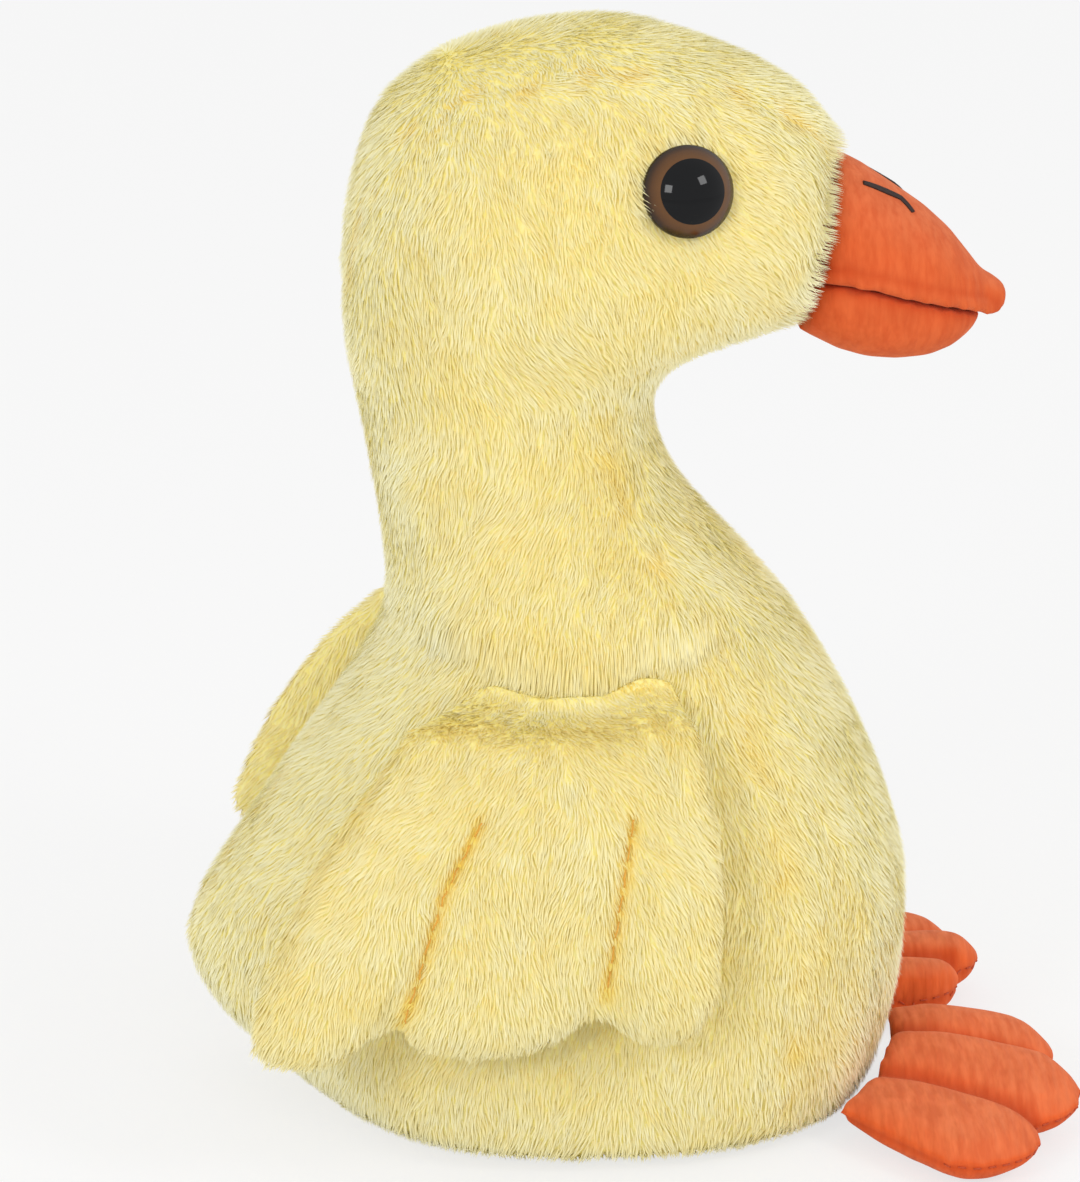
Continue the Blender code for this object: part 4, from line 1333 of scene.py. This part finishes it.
def make_pupil_black():
    """Glossy black plastic with the faint scuffs of handling."""
    material, tree, shader = new_material(
        "pupil_black", Base_Color=colour(*EYE_BLACK), Specular_IOR_Level=0.22
    )
    place = new_node(tree, "TexCoord")
    scuffs = new_node(tree, "TexNoise", Scale=900.0, Detail=4.0)
    rough = new_node(tree, "MapRange", From_Min=0.4, From_Max=0.8, To_Min=0.03, To_Max=0.09)
    wire(
        tree, (place, "Object", scuffs, "Vector"), (scuffs, 0, rough, "Value"),
        (rough, "Result", shader, "Roughness"),
    )
    return material


def make_washer_plastic():
    material, tree, shader = new_material("washer_plastic", Roughness=0.42)
    place = new_node(tree, "TexCoord")
    cloud = use_group(tree, uneven_dye, Color=colour(*WASHER_WHITE), Size=300.0, Amount=0.12)
    wire(tree, (place, "Object", cloud, "Vector"), (cloud, 0, shader, "Base Color"))
    return material


eye_brown, pupil_black, washer_plastic = make_eye_brown(), make_pupil_black(), make_washer_plastic()

# %% Eyes
PUPIL_PROUD = 0.05 * MM
PUPIL_SEAT = 0.5 * MM


def place_eye_piece(piece, washer, axis, finish, node):
    turn = Vector((0.0, 0.0, 1.0)).rotation_difference(Vector(axis)).to_matrix().to_4x4()
    turn.translation = Vector(washer)
    piece.data.transform(turn)
    piece.data.update()
    piece.data.materials.append(finish)
    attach(piece, "root")
    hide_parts(node)
    print(piece.name, len(piece.data.polygons), "faces")


for word in SIDES:
    washer, axis, radius, pupil, back, top, sphere = eye_measures(word)
    rim_at = top - sphere + math.sqrt(sphere ** 2 - radius ** 2)
    cap = make_dome(f"eye_cap_{word}", sphere, top, rim_at, back)
    set_attribute(cap, "rim", ease(np.linalg.norm(points_of(cap)[:, :2], axis=1), pupil, radius))
    place_eye_piece(cap, washer, axis, eye_brown, f"eye_{word}")
    ball = sphere + PUPIL_PROUD
    pupil_at = top + PUPIL_PROUD - ball + math.sqrt(ball ** 2 - pupil ** 2)
    lens = make_dome(f"pupil_dome_{word}", ball, top + PUPIL_PROUD, pupil_at, pupil_at - PUPIL_SEAT)
    place_eye_piece(lens, washer, axis, pupil_black, f"pupil_{word}")
    plate = nodes[f"eye_washer_{word}"]
    plate.data.materials.clear()
    plate.data.materials.append(washer_plastic)

# %% [markdown]
# ## Threads
# Three kinds of thread show: the black bars of the nostrils, the stitched lines through the wings,
# and the small stitches of the feet's hems. Each is a set of thin tubes that lie on the cloth.
# Their lines are drawn on the photo and thrown onto the skins, or follow the hem round the foot.

# %% Thread helpers
def make_thread(name, paths, radius, finish, slot, *stands_for):
    """Closed tubes along lines of points, as one mesh."""
    curve = bpy.data.curves.new(name, "CURVE")
    curve.dimensions = "3D"
    curve.bevel_depth = radius
    curve.bevel_resolution = 1
    curve.use_fill_caps = True
    for path in paths:
        line = curve.splines.new("POLY")
        line.points.add(len(path) - 1)
        for spot, point in zip(line.points, path):
            spot.co = (*point, 1.0)
    thread = bpy.data.objects.new(name, curve)
    scene.collection.objects.link(thread)
    work_on(thread)
    bpy.ops.object.convert(target="MESH")
    thread = bpy.context.object
    edit_mesh(
        (bpy.ops.mesh.remove_doubles, {"threshold": MERGE_WITHIN}),
        (bpy.ops.mesh.normals_make_consistent, {"inside": False}),
    )
    thread.data.materials.clear()
    thread.data.materials.append(finish)
    thread.data.shade_smooth()
    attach(thread, "root")
    if stands_for:
        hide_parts(*stands_for)
    print(name, len(paths), "lengths,", len(thread.data.polygons), "faces")


def make_thread_finish(name, shade):
    """Twisted thread: fine slanting bands."""
    material, tree, shader = new_material(name, Roughness=0.65)
    place = new_node(tree, "TexCoord")
    twist = new_node(
        tree, "TexWave", {"bands_direction": "DIAGONAL"}, Scale=700.0, Distortion=1.5
    )
    cloud = use_group(tree, uneven_dye, Color=colour(*shade), Size=900.0, Amount=0.5)
    relief = new_node(tree, "Bump", Strength=0.5, Distance=0.0001)
    wire(
        tree, (place, "Object", twist, "Vector"), (place, "Object", cloud, "Vector"),
        (cloud, 0, shader, "Base Color"), (twist, 0, relief, "Height"),
        (relief, 0, shader, "Normal"),
    )
    return material


def even_steps(path, step):
    """The same line with a point every so often."""
    lengths = np.r_[0.0, np.cumsum(np.linalg.norm(np.diff(path, axis=0), axis=1))]
    places = np.arange(0.0, lengths[-1], step)
    return np.stack([np.interp(places, lengths, path[:, axis]) for axis in range(3)], axis=1)


def laid_on(tree, path, lift):
    """The line moved to the nearest places of a skin, and lifted off it."""
    laid = []
    for point in path:
        spot, normal = tree.find_nearest(Vector(point))[:2]
        laid.append(np.array(spot + normal * lift))
    return np.array(laid)


def running_stitches(path, taken, skipped):
    """Cuts a line with even steps into stitches, by how many points each takes and skips."""
    starts = range(0, len(path) - taken, taken + skipped)
    return [path[start:start + taken] for start in starts]


# %% Nostrils
NOSTRIL_LINE = ((863, 183), (882, 190), (900, 198), (907, 205), (914, 214))
NOSTRIL_STEP, NOSTRIL_LIFT = 0.6 * MM, 0.12 * MM
NOSTRIL_SPREAD = 0.36 * MM
NOSTRIL_TAPER = 0.35
NOSTRIL_THREAD = 0.27 * MM
dark_thread = make_thread_finish("dark_thread", (44, 26, 20))

nostril = even_steps(hits_along(NOSTRIL_LINE, beak_tree), NOSTRIL_STEP)
nostril = laid_on(beak_tree, nostril, NOSTRIL_LIFT)
forward = unit(np.gradient(nostril, axis=0))
outward = np.array([beak_tree.find_nearest(Vector(point))[1] for point in nostril])
sideways = unit(np.cross(outward, forward))
along = np.linspace(NOSTRIL_TAPER, math.pi - NOSTRIL_TAPER, len(nostril))
spread = sideways * np.sin(along)[:, None] * NOSTRIL_SPREAD
bars = [nostril + spread * share for share in (-1.0, 0.0, 1.0)]
for word, mirror in zip(SIDES, (1.0, -1.0)):
    paths = [bar * (1.0, mirror, 1.0) for bar in bars]
    replaced = f"nostril_stitch_{word}"
    make_thread(f"nostril_{word}", paths, NOSTRIL_THREAD, dark_thread, "dark_thread", replaced)

# %% Stitches of the wings and feet
WING_THREAD, WING_THREAD_LIFT = 0.13 * MM, 0.7 * MM
WING_STITCH_STEP = 0.65 * MM
HEM_THREAD, HEM_THREAD_LIFT = 0.16 * MM, 0.05 * MM
HEM_STITCH_STEP = 0.6 * MM
HEM_REACH, HEM_STEP = 105, 5
ON_HEM = 0.6
yellow_thread = make_thread_finish("yellow_thread", (232, 170, 66))
orange_thread = make_thread_finish("orange_thread", (196, 74, 30))


def hem_line(word):
    """Points of a foot's hem, in order round its toes."""
    points = points_of(foot_skins[word])[foot_hems[word] > ON_HEM]
    low, high = corners_of(f"foot_top_{word}")
    offset = (points - (low + high) / 2.0)[:, :2]
    angles = np.degrees(np.arctan2(offset[:, 1], offset[:, 0]))
    reach = np.linalg.norm(offset, axis=1)
    line = []
    for angle in range(-HEM_REACH, HEM_REACH + 1, HEM_STEP):
        close = np.abs(angles - angle) < HEM_STEP / 2.0
        if close.any():
            line.append(points[close][np.argmax(reach[close])])
    return np.array(line)


for word in SIDES:
    skin, foot = surface_tree(wing_skins[word]), surface_tree(foot_skins[word])
    stitches = []
    for path in stitch_paths[word]:
        laid = laid_on(skin, even_steps(path, WING_STITCH_STEP), WING_THREAD_LIFT)
        stitches += running_stitches(laid, 5, 1)
    make_thread(f"wing_stitches_{word}", stitches, WING_THREAD, yellow_thread, "wing_pile")
    laid = laid_on(foot, even_steps(hem_line(word), HEM_STITCH_STEP), HEM_THREAD_LIFT)
    stitches = running_stitches(laid, 3, 1)
    make_thread(f"hem_stitches_{word}", stitches, HEM_THREAD, orange_thread, "orange_velour")

# %% Measure and finish
triangles = []
for thing in scene.objects:
    if thing.type == "MESH" and thing not in nodes.values():
        thing.data.calc_loop_triangles()
        triangles.append(len(thing.data.loop_triangles))
print("triangles added:", sum(triangles), "most:", max(triangles))
